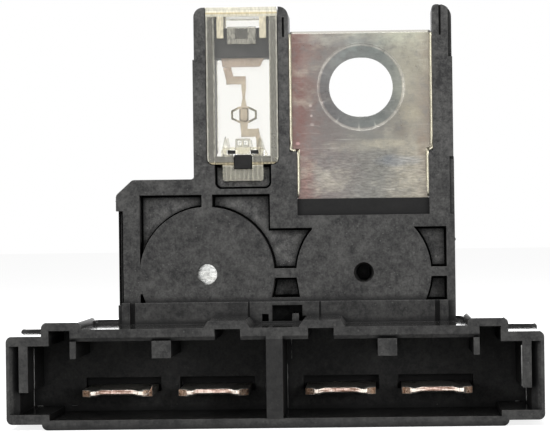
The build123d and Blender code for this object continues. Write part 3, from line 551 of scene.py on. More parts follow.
@dataclass(frozen=True)
class TinPlate(Finish):
    """Tinned copper that was handled: soft reflections, a tint that drifts across, fine scratches, with
    painted highlight on the eased edges and painted light on the head and the top faces.
    """

    name: str = "tin_plate"
    left: float = 1.9 * MM
    right: float = 21.6 * MM
    bottom: float = 30.0 * MM
    top: float = 53.6 * MM
    ring_middle: Point = (11.8 * MM, 0.0, 45.8 * MM)
    ring_reach: float = 5.75 * MM
    roughness: float = 0.34
    scratch_scale: float = 2300.0
    scratch_share: float = 0.2
    worn_share: float = 0.3
    eased_highlight_share: float = 0.9
    relief: float = 0.006 * MM
    ring_tint: Colour = (0.76, 0.83, 0.88)
    tints: Stops = (
        (0.0, (0.225, 0.145, 0.13)),
        (0.1, (0.235, 0.165, 0.15)),
        (0.24, (0.205, 0.18, 0.17)),
        (0.6, (0.215, 0.21, 0.19)),
        (0.85, (0.33, 0.305, 0.25)),
        (1.0, (0.29, 0.25, 0.205)),
    )
    lights: Stops = (
        (0.0, (0.9, 0.9, 0.9)),
        (0.25, (0.95, 0.95, 0.95)),
        (0.5, (0.84, 0.84, 0.84)),
        (0.84, (0.98, 1.0, 0.98)),
        (1.0, (1.28, 1.38, 1.34)),
    )
    rubbed_tone: Colour = (0.8, 0.77, 0.7)
    # Painted highlight: pale cream tones for the bar's eased edges, paler on the right.
    left_edge_highlight_tone: Colour = (0.88, 0.84, 0.66)
    right_edge_highlight_tone: Colour = (0.9, 0.85, 0.7)
    # Painted light: the tone of faces that look upward.
    top_face_light_tone: Colour = (0.33, 0.32, 0.29)
    dull_tone: Colour = (0.17, 0.17, 0.165)
    smear_tone: Colour = (0.5, 0.47, 0.38)
    stains: tuple[Stain, ...] = (
        Stain(14.9, 38.0, 2.9, 0.8, (0.46, 0.42, 0.32), 0.42),
        Stain(11.5, 37.6, 5.0, 1.0, (0.42, 0.39, 0.31), 0.25),
        Stain(18.6, 42.2, 1.8, 1.3, (0.42, 0.38, 0.27), 0.3),
        Stain(17.3, 39.7, 1.6, 1.2, (0.15, 0.13, 0.11), 0.5),
        Stain(20.2, 37.6, 0.9, 1.8, (0.2, 0.14, 0.1), 0.4),
        Stain(16.8, 35.5, 3.6, 0.9, (0.2, 0.22, 0.25), 0.5),
        Stain(12.5, 40.0, 6.5, 0.45, (0.17, 0.16, 0.15), 0.45),
        Stain(2.9, 45.0, 1.3, 10.5, (0.19, 0.105, 0.095), 0.75),
        Stain(4.2, 34.0, 0.9, 4.0, (0.24, 0.14, 0.12), 0.5),
        Stain(9.0, 52.3, 6.0, 0.9, (0.3, 0.31, 0.3), 0.35),
        Stain(4.8, 43.3, 0.28, 0.24, (0.7, 0.6, 0.56), 0.4),
        Stain(4.9, 41.9, 0.22, 0.2, (0.7, 0.6, 0.56), 0.5),
        Stain(5.0, 40.7, 0.3, 0.22, (0.7, 0.6, 0.56), 0.3),
        Stain(3.0, 38.1, 0.35, 0.25, (0.7, 0.42, 0.42), 0.55),
    )

    def wire(self, bench: Bench) -> None:
        """Joins the drifting tint, the painted light of the lighter head, patches, scratches, worn edges, the
        eased edges' painted highlight and the top faces' painted light.
        """
        place = bench.place()
        across, _, up = bench.parts(place)
        clouds = bench.effect(Effect.CLOUDS, place=place, scale=210.0)["Tone"]
        drift = bench.scaled(clouds, 0.07, bench.span(across, self.left, self.right))
        tint = bench.ramp(drift, self.tints)
        # Painted light: the bar grows lighter towards its head.
        height = bench.scaled(clouds, 0.1, bench.span(up, self.bottom, self.top))
        shaded = bench.blend(1.0, tint, bench.ramp(height, self.lights), "MULTIPLY")
        flat_place = bench.stretch(place, (1.0, 0.0, 1.0))
        apart = bench.put("VectorMath", {0: flat_place, 1: self.ring_middle}, operation="DISTANCE")
        away = apart.outputs["Value"]
        ring = bench.span(away, self.ring_reach, self.ring_reach - 0.12 * MM)
        ringed = bench.blend(ring, shaded, bench.blend(1.0, shaded, self.ring_tint, "MULTIPLY"))
        rim_far = bench.span(away, self.ring_reach + 0.45 * MM, self.ring_reach + 0.2 * MM)
        rim = bench.times(rim_far, bench.span(away, self.ring_reach - 0.1 * MM, self.ring_reach + 0.1 * MM))
        rim = bench.times(rim, bench.span(clouds, -1.0, 1.0, 0.02, 0.34))
        ringed = bench.blend(rim, ringed, self.rubbed_tone)
        ragged = bench.grade(bench.flow(place, (0.7, 1.0, 1.0), 520.0, 4.0, 0.65), -1.0, 1.0)
        spots = bench.parts(place)
        for stain in self.stains:
            ringed = stain.lay(bench, spots, ragged, ringed)
        low = bench.span(up, 31.0 * MM, 39.0 * MM, 0.12, 0.4)
        scratches = bench.effect(Effect.SCRATCHES, place=place, scale=self.scratch_scale, cover=low)["Mask"]
        grain = bench.effect(Effect.GRAIN, place=place, scale=2800.0, fibre_scale=1500.0)
        stains = bench.span(bench.noise(place, 900.0, 4.0, 0.7), 0.5, 0.72, 0.0, 0.5)
        mottled = bench.blend(bench.grade(grain["Tone"], 0.0, 0.3), ringed, self.dull_tone)
        stained = bench.blend(stains, mottled, self.dull_tone)
        smears = bench.span(bench.flow(place, (0.8, 1.0, 1.3), 260.0, 4.0, 0.65, (0.0, 0.5, 0.0)), 0.52, 0.74)
        smears = bench.times(smears, bench.minus(0.42, bench.times(ring, 0.3)))
        smeared = bench.blend(smears, stained, self.smear_tone)
        marked = bench.blend(bench.times(scratches, self.scratch_share), smeared, self.rubbed_tone)
        drawn = bench.span(bench.flow(place, (0.22, 1.0, 1.0), 4300.0, 3.0, 0.7), 0.36, 0.64, 0.6, 1.4)
        low_down = bench.span(up, 38.5 * MM, 35.5 * MM, 0.1, 0.62)
        lines = bench.scaled(bench.minus(drawn, 1.0), low_down, 1.0)
        marked = bench.dimmed(marked, lines)
        worn = bench.effect(Effect.WORN_EDGES, reach=0.00012, chip_scale=500.0, breaks=0.4)
        edged = bench.blend(bench.times(worn["Mask"], self.worn_share), marked, self.rubbed_tone)
        side, toward, rise = bench.parts(bench.put("TexCoord").outputs["Normal"])
        # Painted highlight: the eased edges are coloured pale cream, paler on the right, and made less
        # metallic so that they show it.
        front = bench.span(toward, -0.3, -0.5)
        eased = bench.times(bench.span(bench.aside(side), 0.3, 0.5), front)
        edge_highlight_tone = bench.blend(bench.span(side, -0.2, 0.2), self.left_edge_highlight_tone, self.right_edge_highlight_tone)
        edged = bench.blend(bench.times(eased, self.eased_highlight_share), edged, edge_highlight_tone)
        # Painted light: faces that look upward get a tone of their own.
        edged = bench.blend(bench.span(rise, 0.08, 0.2), edged, self.top_face_light_tone)
        bench.give("Base Color", edged)
        bench.give("Metallic", bench.span(eased, 0.0, 1.0, 1.0, 0.1))
        matt = bench.grade(grain["Tone"], self.roughness - 0.06, self.roughness + 0.08)
        bench.give("Roughness", bench.scaled(clouds, 0.05, matt))
        waves = bench.flow(place, (1.0, 1.0, 1.9), 330.0, 3.0, 0.5)
        relief = bench.scaled(waves, 9.0, bench.scaled(scratches, -0.6, grain["Height"]))
        bench.bump(relief, self.relief, worn["Normal"])


@dataclass(frozen=True)
class LinkMetal(Finish):
    """Dull stamped strip of the main link, warm grey with darker sheared edges."""

    name: str = "link_metal"
    tone: Colour = (0.47, 0.38, 0.315)
    dull_tone: Colour = (0.3, 0.25, 0.2)
    bright_tone: Colour = (0.75, 0.66, 0.55)
    low_tone: Colour = (0.54, 0.47, 0.36)
    low_span: tuple[float, float] = (47.6 * MM, 46.4 * MM)
    claw_tone: Colour = (0.12, 0.115, 0.075)
    claw_middle: float = -4.66 * MM
    claw_reach: float = 0.8 * MM
    claw_span: tuple[float, float] = (41.0 * MM, 43.8 * MM)
    scratch_share: float = 0.35
    worn_share: float = 0.6
    relief: float = 0.008 * MM

    def wire(self, bench: Bench) -> None:
        """Joins patches, grain, scratches, bright edges and the darker claws."""
        place = bench.place()
        clouds = bench.effect(Effect.CLOUDS, place=place, scale=420.0)["Tone"]
        grain = bench.effect(Effect.GRAIN, place=place, scale=4200.0, fibre_scale=3000.0)
        share = bench.scaled(clouds, 0.25, bench.grade(grain["Tone"], 0.1, 0.6))
        across, _, up = bench.parts(place)
        tone = bench.blend(bench.span(up, *self.low_span), self.tone, self.low_tone)
        body = bench.blend(share, tone, self.dull_tone)
        scratches = bench.effect(Effect.SCRATCHES, place=place, scale=3600.0, cover=0.4)["Mask"]
        worn = bench.effect(Effect.WORN_EDGES, reach=0.0001, chip_scale=900.0, breaks=0.5)
        marked = bench.blend(bench.times(scratches, self.scratch_share), body, self.bright_tone)
        edged = bench.blend(bench.times(worn["Mask"], self.worn_share), marked, self.bright_tone)
        aside = bench.aside(across, self.claw_middle)
        reach = bench.span(aside, self.claw_reach - 0.1 * MM, self.claw_reach + 0.25 * MM, 0.0, 0.85)
        near = bench.span(aside, 3.0 * MM, 2.6 * MM)
        claws = bench.product([reach, near, bench.within(up, *self.claw_span)])
        edged = bench.blend(claws, edged, self.claw_tone)
        bench.give("Base Color", edged)
        bench.give("Metallic", 1.0)
        bench.give("Roughness", bench.grade(grain["Tone"], 0.34, 0.5))
        bench.bump(grain["Height"], self.relief, worn["Normal"])


@dataclass(frozen=True)
class SoftTin(Finish):
    """Tin pellet: pale, dull and slightly lumpy."""

    name: str = "soft_tin"
    tone: Colour = (0.6, 0.56, 0.48)
    dull_tone: Colour = (0.4, 0.37, 0.33)
    metallic: float = 1.0
    relief: float = 0.02 * MM

    def wire(self, bench: Bench) -> None:
        """Joins lumps, patches and rounded edges."""
        place = bench.place()
        clouds = bench.effect(Effect.CLOUDS, place=place, scale=900.0)["Tone"]
        worn = bench.effect(Effect.WORN_EDGES, reach=0.00015, chip_scale=1200.0, breaks=0.3)
        body = bench.blend(bench.span(clouds, -1.0, 1.0), self.tone, self.dull_tone)
        bench.give("Base Color", body)
        bench.give("Metallic", self.metallic)
        bench.give("Roughness", bench.span(clouds, -1.0, 1.0, 0.38, 0.55))
        bench.bump(clouds, self.relief, worn["Normal"])


@dataclass(frozen=True)
class BladeMetal(Finish):
    """Blade terminal: plated faces, pressed bevels with a painted highlight and a sheared copper nose with
    painted glints.
    """

    name: str = "blade_metal"
    middle: float = 0.0
    nose: float = depth(8.0)
    plated_tone: Colour = (0.52, 0.5, 0.46)
    bright_tone: Colour = (0.97, 0.93, 0.84)
    rose_tone: Colour = (0.72, 0.5, 0.43)
    bronze_tone: Colour = (0.46, 0.25, 0.14)
    glint_tone: Colour = (0.85, 0.6, 0.42)
    scale_tone: Colour = (0.13, 0.06, 0.035)
    dull_tone: Colour = (0.4, 0.35, 0.29)
    half_width: float = 4.75 * MM
    scratch_share: float = 0.5
    worn_share: float = 0.55
    relief: float = 0.012 * MM

    def wire(self, bench: Bench) -> None:
        """Joins the faces, the nose's colours with its painted glints, the shear marks and the bevels'
        painted highlight.
        """
        place = bench.place()
        across, back, _ = bench.parts(place)
        grain = bench.effect(Effect.GRAIN, place=place, scale=3400.0, fibre_scale=2600.0)
        clouds = bench.effect(Effect.CLOUDS, place=place, scale=380.0)["Tone"]
        turned = bench.stretch(place, (1.0, 1.0, 1.0), (0.0, 0.0, 1.4))
        scratches = bench.effect(Effect.SCRATCHES, place=turned, scale=2600.0, cover=0.35)["Mask"]
        worn = bench.effect(Effect.WORN_EDGES, reach=0.00012, chip_scale=800.0, breaks=0.4)
        faces = bench.blend(bench.grade(grain["Tone"], 0.0, 0.4), self.plated_tone, self.dull_tone)
        faces = bench.blend(bench.times(scratches, self.scratch_share), faces, self.bright_tone)
        away = bench.aside(across, self.middle)
        reach = bench.scaled(clouds, 0.0004, away)
        nose = bench.ramp(
            bench.span(reach, 0.0, self.half_width),
            (
                (0.0, self.rose_tone),
                (0.42, (0.78, 0.58, 0.49)),
                (0.6, (0.95, 0.86, 0.76)),
                (0.72, (0.92, 0.82, 0.72)),
                (0.8, (0.5, 0.35, 0.25)),
                (1.0, self.bronze_tone),
            ),
        )
        shear = bench.flow(place, (1.0, 1.0, 0.12), 5200.0, 2.0, 0.6)
        nose = bench.blend(bench.span(shear, 0.5, 0.72, 0.0, 0.5), nose, self.bright_tone)
        nose = bench.blend(bench.span(shear, 0.48, 0.3, 0.0, 0.75), nose, self.scale_tone)
        spots = bench.noise(place, 3800.0, 3.0, 0.6)
        ends = bench.span(reach, 3.3 * MM, 3.8 * MM)
        nose = bench.blend(bench.times(ends, bench.span(spots, 0.56, 0.64)), nose, self.glint_tone)
        nose = bench.blend(bench.times(ends, bench.span(spots, 0.46, 0.4)), nose, self.scale_tone)
        drawn = bench.flow(place, (0.1, 1.0, 1.0), 5200.0, 3.0, 0.65)
        inner = bench.span(reach, 3.1 * MM, 2.6 * MM)
        nose = bench.blend(bench.times(inner, bench.span(drawn, 0.5, 0.42, 0.0, 0.85)), nose, self.scale_tone)
        glints = bench.times(inner, bench.span(drawn, 0.54, 0.62, 0.0, 0.6))
        nose = bench.blend(glints, nose, self.bright_tone)
        facing = bench.put("TexCoord").outputs["Normal"]
        _, toward, rise = bench.parts(facing)
        flat_nose = bench.span(toward, -0.45, -0.6)
        # Painted highlight: the pressed bevels above and below the nose are coloured bright.
        bevel_highlight = bench.times(bench.span(toward, -0.3, -0.6), bench.span(bench.aside(rise), 0.35, 0.6))
        near = bench.span(back, self.nose + 1.6 * MM, self.nose + 0.8 * MM)
        colour = bench.blend(bench.times(flat_nose, near), faces, nose)
        colour = bench.blend(bench.times(bevel_highlight, near), colour, self.bright_tone)
        colour = bench.blend(bench.times(worn["Mask"], self.worn_share), colour, self.bright_tone)
        bench.give("Base Color", colour)
        copper = bench.times(near, bench.span(reach, 3.4 * MM, 3.9 * MM, 0.0, 0.75))
        bench.give("Metallic", bench.minus(1.0, copper))
        bench.give("Roughness", bench.grade(grain["Tone"], 0.24, 0.4))
        relief = bench.scaled(shear, 0.8, grain["Height"])
        bench.bump(relief, self.relief, worn["Normal"])


@dataclass(frozen=True)
class ClearPlastic(Finish):
    """Clear cover, a little hazy and slightly yellow, with fine scratches."""

    name: str = "clear_plastic"
    tone: Colour = (0.992, 0.988, 0.965)
    frost_tone: Colour = (0.93, 0.9, 0.77)
    clearness: float = 0.985
    bend_of_light: float = 1.49
    on_tower: float = 32.0
    middle: float = COVER_MIDDLE
    rim: float = 3.83
    milky: tuple[tuple[float, float, float, float, float], ...] = (
        (-4.93, 4.93, 35.0, 36.4, 0.15),
        (-4.6, 4.6, 35.0, 35.5, 0.3),
        (-2.8, 2.8, 32.5, 37.65, 0.115),
        (-3.4, -2.5, 52.75, 55.8, 0.6),
        (2.5, 3.4, 52.75, 55.8, 0.6),
        (3.86, 4.75, 36.0, 55.8, 0.19),
        (-1.95, 1.95, 51.95, 52.6, 0.28),
        (-1.95, -0.85, 52.6, 54.2, 0.28),
        (0.85, 1.95, 52.6, 54.2, 0.28),
        (-0.85, 0.85, 52.6, 54.2, 0.05),
        (-5.0, 5.0, 55.75, 56.2, 0.5),
        (-5.0, 5.0, 56.2, 56.6, 0.72),
        (-5.0, 5.0, 56.6, 57.5, 0.6),
    )
    rim_lines: tuple[Pair, ...] = ((3.9, 0.13), (4.82, 0.22))
    tab_pitch: float = 0.62 * MM
    tab_haze: float = 0.1
    rim_haze: float = 0.14
    frame_haze: float = 0.42
    foot_gold: float = 0.7
    leg_gold: float = 0.35
    relief: float = 0.004 * MM
    pane_middle: float = depth(22.5)
    small_frame: Box = ((None, 3.42), (37.65, 39.4))
    tab: Box = ((None, 2.8), (32.5, 37.6))
    legs: Box = ((2.5, 3.4), (52.7, 55.7))
    gold_tone: Colour = (0.95, 0.78, 0.42)

    def wire(self, bench: Bench) -> None:
        """Joins the haze of the thick places, scratches and a faint waviness."""
        place = bench.place()
        clouds = bench.effect(Effect.CLOUDS, place=place, scale=300.0)["Tone"]
        scratches = bench.effect(Effect.SCRATCHES, place=place, scale=2600.0, cover=0.42)["Mask"]
        worn = bench.effect(Effect.WORN_EDGES, reach=0.00012, chip_scale=700.0, breaks=0.3)
        across, back, up = bench.parts(place)
        from_middle = bench.minus(across, self.middle * MM)
        aside = bench.aside(from_middle)
        outside = bench.span(aside, (self.rim - 0.05) * MM, (self.rim + 0.05) * MM)
        frost = bench.times(outside, self.rim_haze)
        for far, haze in self.rim_lines:
            line = bench.within(aside, (far - 0.1) * MM, (far + 0.1) * MM)
            frost = bench.scaled(line, haze, frost)
        frost = bench.times(frost, bench.within(up, self.on_tower * MM, None))
        for left, right, low, high, haze in self.milky:
            patch = bench.window(from_middle, up, ((left, right), (low, high)))
            frost = bench.larger(frost, bench.times(patch, haze))
        inside = bench.aside(back, self.pane_middle)
        small = bench.window(inside, up, self.small_frame)
        frost = bench.larger(frost, bench.times(small, self.frame_haze))
        wave = bench.sum("SINE", bench.times(from_middle, math.tau / self.tab_pitch))
        on_tab = bench.window(aside, up, self.tab)
        ribs = bench.times(bench.span(wave, 0.2, 1.0), bench.times(on_tab, self.tab_haze))
        frost = bench.sum("ADD", frost, ribs)
        lit = bench.times(worn["Mask"], bench.within(up, self.on_tower * MM, None))
        streaks = bench.span(bench.flow(place, (1.0, 1.0, 0.3), 4200.0, 2.0, 0.5), 0.35, 0.7, 0.8, 1.25)
        frost = bench.scaled(lit, 0.2, bench.times(frost, streaks))
        tone = bench.blend(bench.span(frost, 0.0, 0.1), self.tone, self.frost_tone)
        foot = bench.larger(bench.within(up, 35.2 * MM, 35.62 * MM), bench.within(up, 56.05 * MM, 56.3 * MM))
        tone = bench.blend(bench.times(foot, self.foot_gold), tone, self.gold_tone)
        legs = bench.window(aside, up, self.legs)
        tone = bench.blend(bench.times(legs, self.leg_gold), tone, self.gold_tone)
        bench.give("Base Color", tone)
        bench.give("IOR", self.bend_of_light)
        clear = bench.minus(self.clearness, frost)
        bench.give("Transmission Weight", clear)
        bench.give("Roughness", bench.scaled(scratches, 0.25, 0.06))
        bench.bump(clouds, self.relief, worn["Normal"])


@dataclass(frozen=True)
class PaintedShadowStrip(Finish):
    """A black strip of painted shadow along the walls of the pockets, with a little dust."""

    name: str = "painted_shadow_strip"
    tone: Colour = (0.0015, 0.0015, 0.0016)
    dust_tone: Colour = (0.012, 0.012, 0.011)
    roughness: float = 0.9
    gloss_level: float = 0.04
    relief: float = 0.008 * MM

    def wire(self, bench: Bench) -> None:
        """Joins dust and grain."""
        place = bench.place()
        specks = bench.effect(Effect.SPECKS, place=place, scale=5200.0, spare=0.6)["Mask"]
        grain = bench.effect(Effect.GRAIN, place=place, scale=5200.0, fibre_scale=3000.0)
        dust = bench.larger(specks, bench.span(grain["Tone"], 0.5, 0.8))
        bench.give("Base Color", bench.blend(dust, self.tone, self.dust_tone))
        bench.give("Roughness", self.roughness)
        bench.give("Specular IOR Level", self.gloss_level)
        bench.bump(grain["Height"], self.relief)


@dataclass(frozen=True)
class PaintedGlintNylon(Finish):
    """Pale smooth moulding, a painted highlight on the thin rods that stand in for glints in the sockets'
    corners.
    """

    name: str = "painted_glint_nylon"
    tone: Colour = (0.3, 0.3, 0.29)
    dark_tone: Colour = (0.1, 0.1, 0.1)
    relief: float = 0.006 * MM

    def wire(self, bench: Bench) -> None:
        """Joins patches and grain."""
        place = bench.place()
        clouds = bench.effect(Effect.CLOUDS, place=place, scale=500.0)["Tone"]
        grain = bench.effect(Effect.GRAIN, place=place, scale=5200.0, fibre_scale=3000.0)
        bench.give("Base Color", bench.blend(bench.span(clouds, -1.0, 1.0), self.tone, self.dark_tone))
        bench.give("Roughness", bench.grade(grain["Tone"], 0.3, 0.5))
        bench.bump(grain["Height"], self.relief)


# Mesh work


def tube(mesh: Mesh, path: Sequence[Vector], radii: Sequence[float], sides: int = 8) -> None:
    """Adds a rod that follows a path and is closed at its ends.

    Args:
        mesh: the mesh that takes it.
        path: points along its middle, in metres.
        radii: its radius at each point, in millimetres.
        sides: how many sides it has.
    """
    rings = []
    for place, (point, radius) in enumerate(zip(path, radii)):
        along = path[min(place + 1, len(path) - 1)] - path[max(place - 1, 0)]
        turn = along.normalized().to_track_quat("Z", "Y")
        angles = [math.tau * side / sides for side in range(sides)]
        spokes = [Vector((math.cos(angle), math.sin(angle), 0.0)) * radius * MM for angle in angles]
        rings.append([mesh.verts.new(point + turn @ spoke) for spoke in spokes])
    for first, second in zip(rings, rings[1:]):
        for side in range(sides):
            following = (side + 1) % sides
            mesh.faces.new((first[side], first[following], second[following], second[side]))
    mesh.faces.new(rings[0][::-1])
    mesh.faces.new(rings[-1])


def mound(
    mesh: Mesh,
    centre: Vector,
    outward: Vector,
    profile: Sequence[Pair],
    sides: int = 16,
) -> None:
    """Adds a round mound, ring or crater that stands on a surface.

    Args:
        mesh: the mesh that takes it.
        centre: the middle of its foot, in metres.
        outward: which way it stands.
        profile: radius and height of each ring, in millimetres, from the middle outward.
        sides: how many sides it has.
    """
    turn = outward.to_track_quat("Z", "Y")
    rings = []
    for radius, height in profile:
        angles = [math.tau * side / sides for side in range(sides)]
        spokes = [(radius * math.cos(angle), radius * math.sin(angle), height) for angle in angles]
        points = [Vector(spoke) * MM for spoke in spokes]
        rings.append([mesh.verts.new(centre + turn @ point) for point in points])
    for first, second in zip(rings, rings[1:]):
        for side in range(sides):
            following = (side + 1) % sides
            mesh.faces.new((first[side], second[side], second[following], first[following]))
    mesh.faces.new(rings[0])
    mesh.faces.new(rings[-1][::-1])


def row(start: Vector, end: Vector, steps: int) -> list[Vector]:
    """Returns places in even steps from one to another, with both ends."""
    return [start.lerp(end, step / steps) for step in range(steps + 1)]


def trail(corners: Sequence[Vector], pitch: float, least: int) -> list[Vector]:
    """Returns places about one pitch apart along a bent line, with at least so many steps to a leg."""
    points = [corners[0]]
    for start, end in zip(corners, corners[1:]):
        points += row(start, end, max(least, round((end - start).length / pitch)))[1:]
    return points


def ribbon(
    mesh: Mesh,
    path: Sequence[Pair],
    half_width: float,
    front: float,
    back: float,
    ragged: random.Random,
) -> None:
    """Adds a thin web that fills a gap, with a ragged front edge.

    Args:
        mesh: the mesh that takes it.
        path: across and up, in metres, of the corners of its middle line.
        half_width: half of its thickness.
        front: the Y of its front edge.
        back: the Y of its back edge.
        ragged: where the raggedness comes from.
    """
    line = trail([Vector((across, 0.0, up)) for across, up in path], 0.5 * MM, 2)
    rows = []
    for place, point in enumerate(line):
        along = (line[min(place + 1, len(line) - 1)] - line[max(place - 1, 0)]).normalized()
        aside = Vector((-along.z, 0.0, along.x)) * half_width
        edge = front + ragged.uniform(0.0, 0.25) * MM
        spots = (point - aside, point + aside)
        rows.append([mesh.verts.new((spot.x, y, spot.z)) for y in (edge, back) for spot in spots])
    for first, second in zip(rows, rows[1:]):
        for one, other in ((0, 1), (1, 3), (3, 2), (2, 0)):
            mesh.faces.new((first[one], first[other], second[other], second[one]))
    mesh.faces.new([rows[0][place] for place in (0, 1, 3, 2)])
    mesh.faces.new([rows[-1][place] for place in (2, 3, 1, 0)])


def rounded_block(mesh: Mesh, low: Vector, high: Vector, ease: float) -> None:
    """Adds a block with eased edges between two corners, in metres."""
    made = bmesh.ops.create_cube(mesh, size=1.0)["verts"]
    bmesh.ops.scale(mesh, vec=high - low, verts=made)
    bmesh.ops.translate(mesh, vec=(low + high) / 2.0, verts=made)
    edges = {edge for vert in made for edge in vert.link_edges}
    bmesh.ops.bevel(mesh, geom=list(edges), offset=ease, segments=2, profile=0.6, affect="EDGES")


def new_piece(name: str, mesh: Mesh, material: Material, smooth: bool = True) -> None:
    """Turns a built mesh into a piece that rides on the unit's one body.

    Args:
        name: the piece's name.
        mesh: the mesh, in metres, which is freed here.
        material: its finish.
        smooth: whether its faces are shaded smooth.
    """
    bmesh.ops.recalc_face_normals(mesh, faces=mesh.faces)
    for face in mesh.faces:
        face.smooth = smooth
    data = bpy.data.meshes.new(name)
    mesh.to_mesh(data)
    mesh.free()
    data.materials.append(material)
    piece = bpy.data.objects.new(name, data)
    bpy.context.scene.collection.objects.link(piece)
    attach(piece, "root")
    log.info("made %s with %d faces", name, len(data.polygons))


def dress(node: str, material: Material, bevel: float) -> None:
    """Gives a node of the part its finish and small rounded edges.

    Args:
        node: the node's name.
        material: its finish.
        bevel: the width of the rounded edges, in metres.
    """
    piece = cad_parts[node]
    for place in range(len(piece.material_slots)):
        piece.material_slots[place].material = material
    weld = piece.modifiers.new("joined", "WELD")
    weld.merge_threshold = 1e-6
    edge = piece.modifiers.new("eased_edges", "BEVEL")
    edge.width = bevel
    edge.segments = 2
    edge.limit_method = "ANGLE"
    edge.angle_limit = math.radians(35.0)
    edge.use_clamp_overlap = True
    even = piece.modifiers.new("even_shading", "WEIGHTED_NORMAL")
    even.weight = 60
    for face in piece.data.polygons:
        face.use_smooth = True
    log.info("dressed %s with %s", node, material.name)


# Sub-assemblies


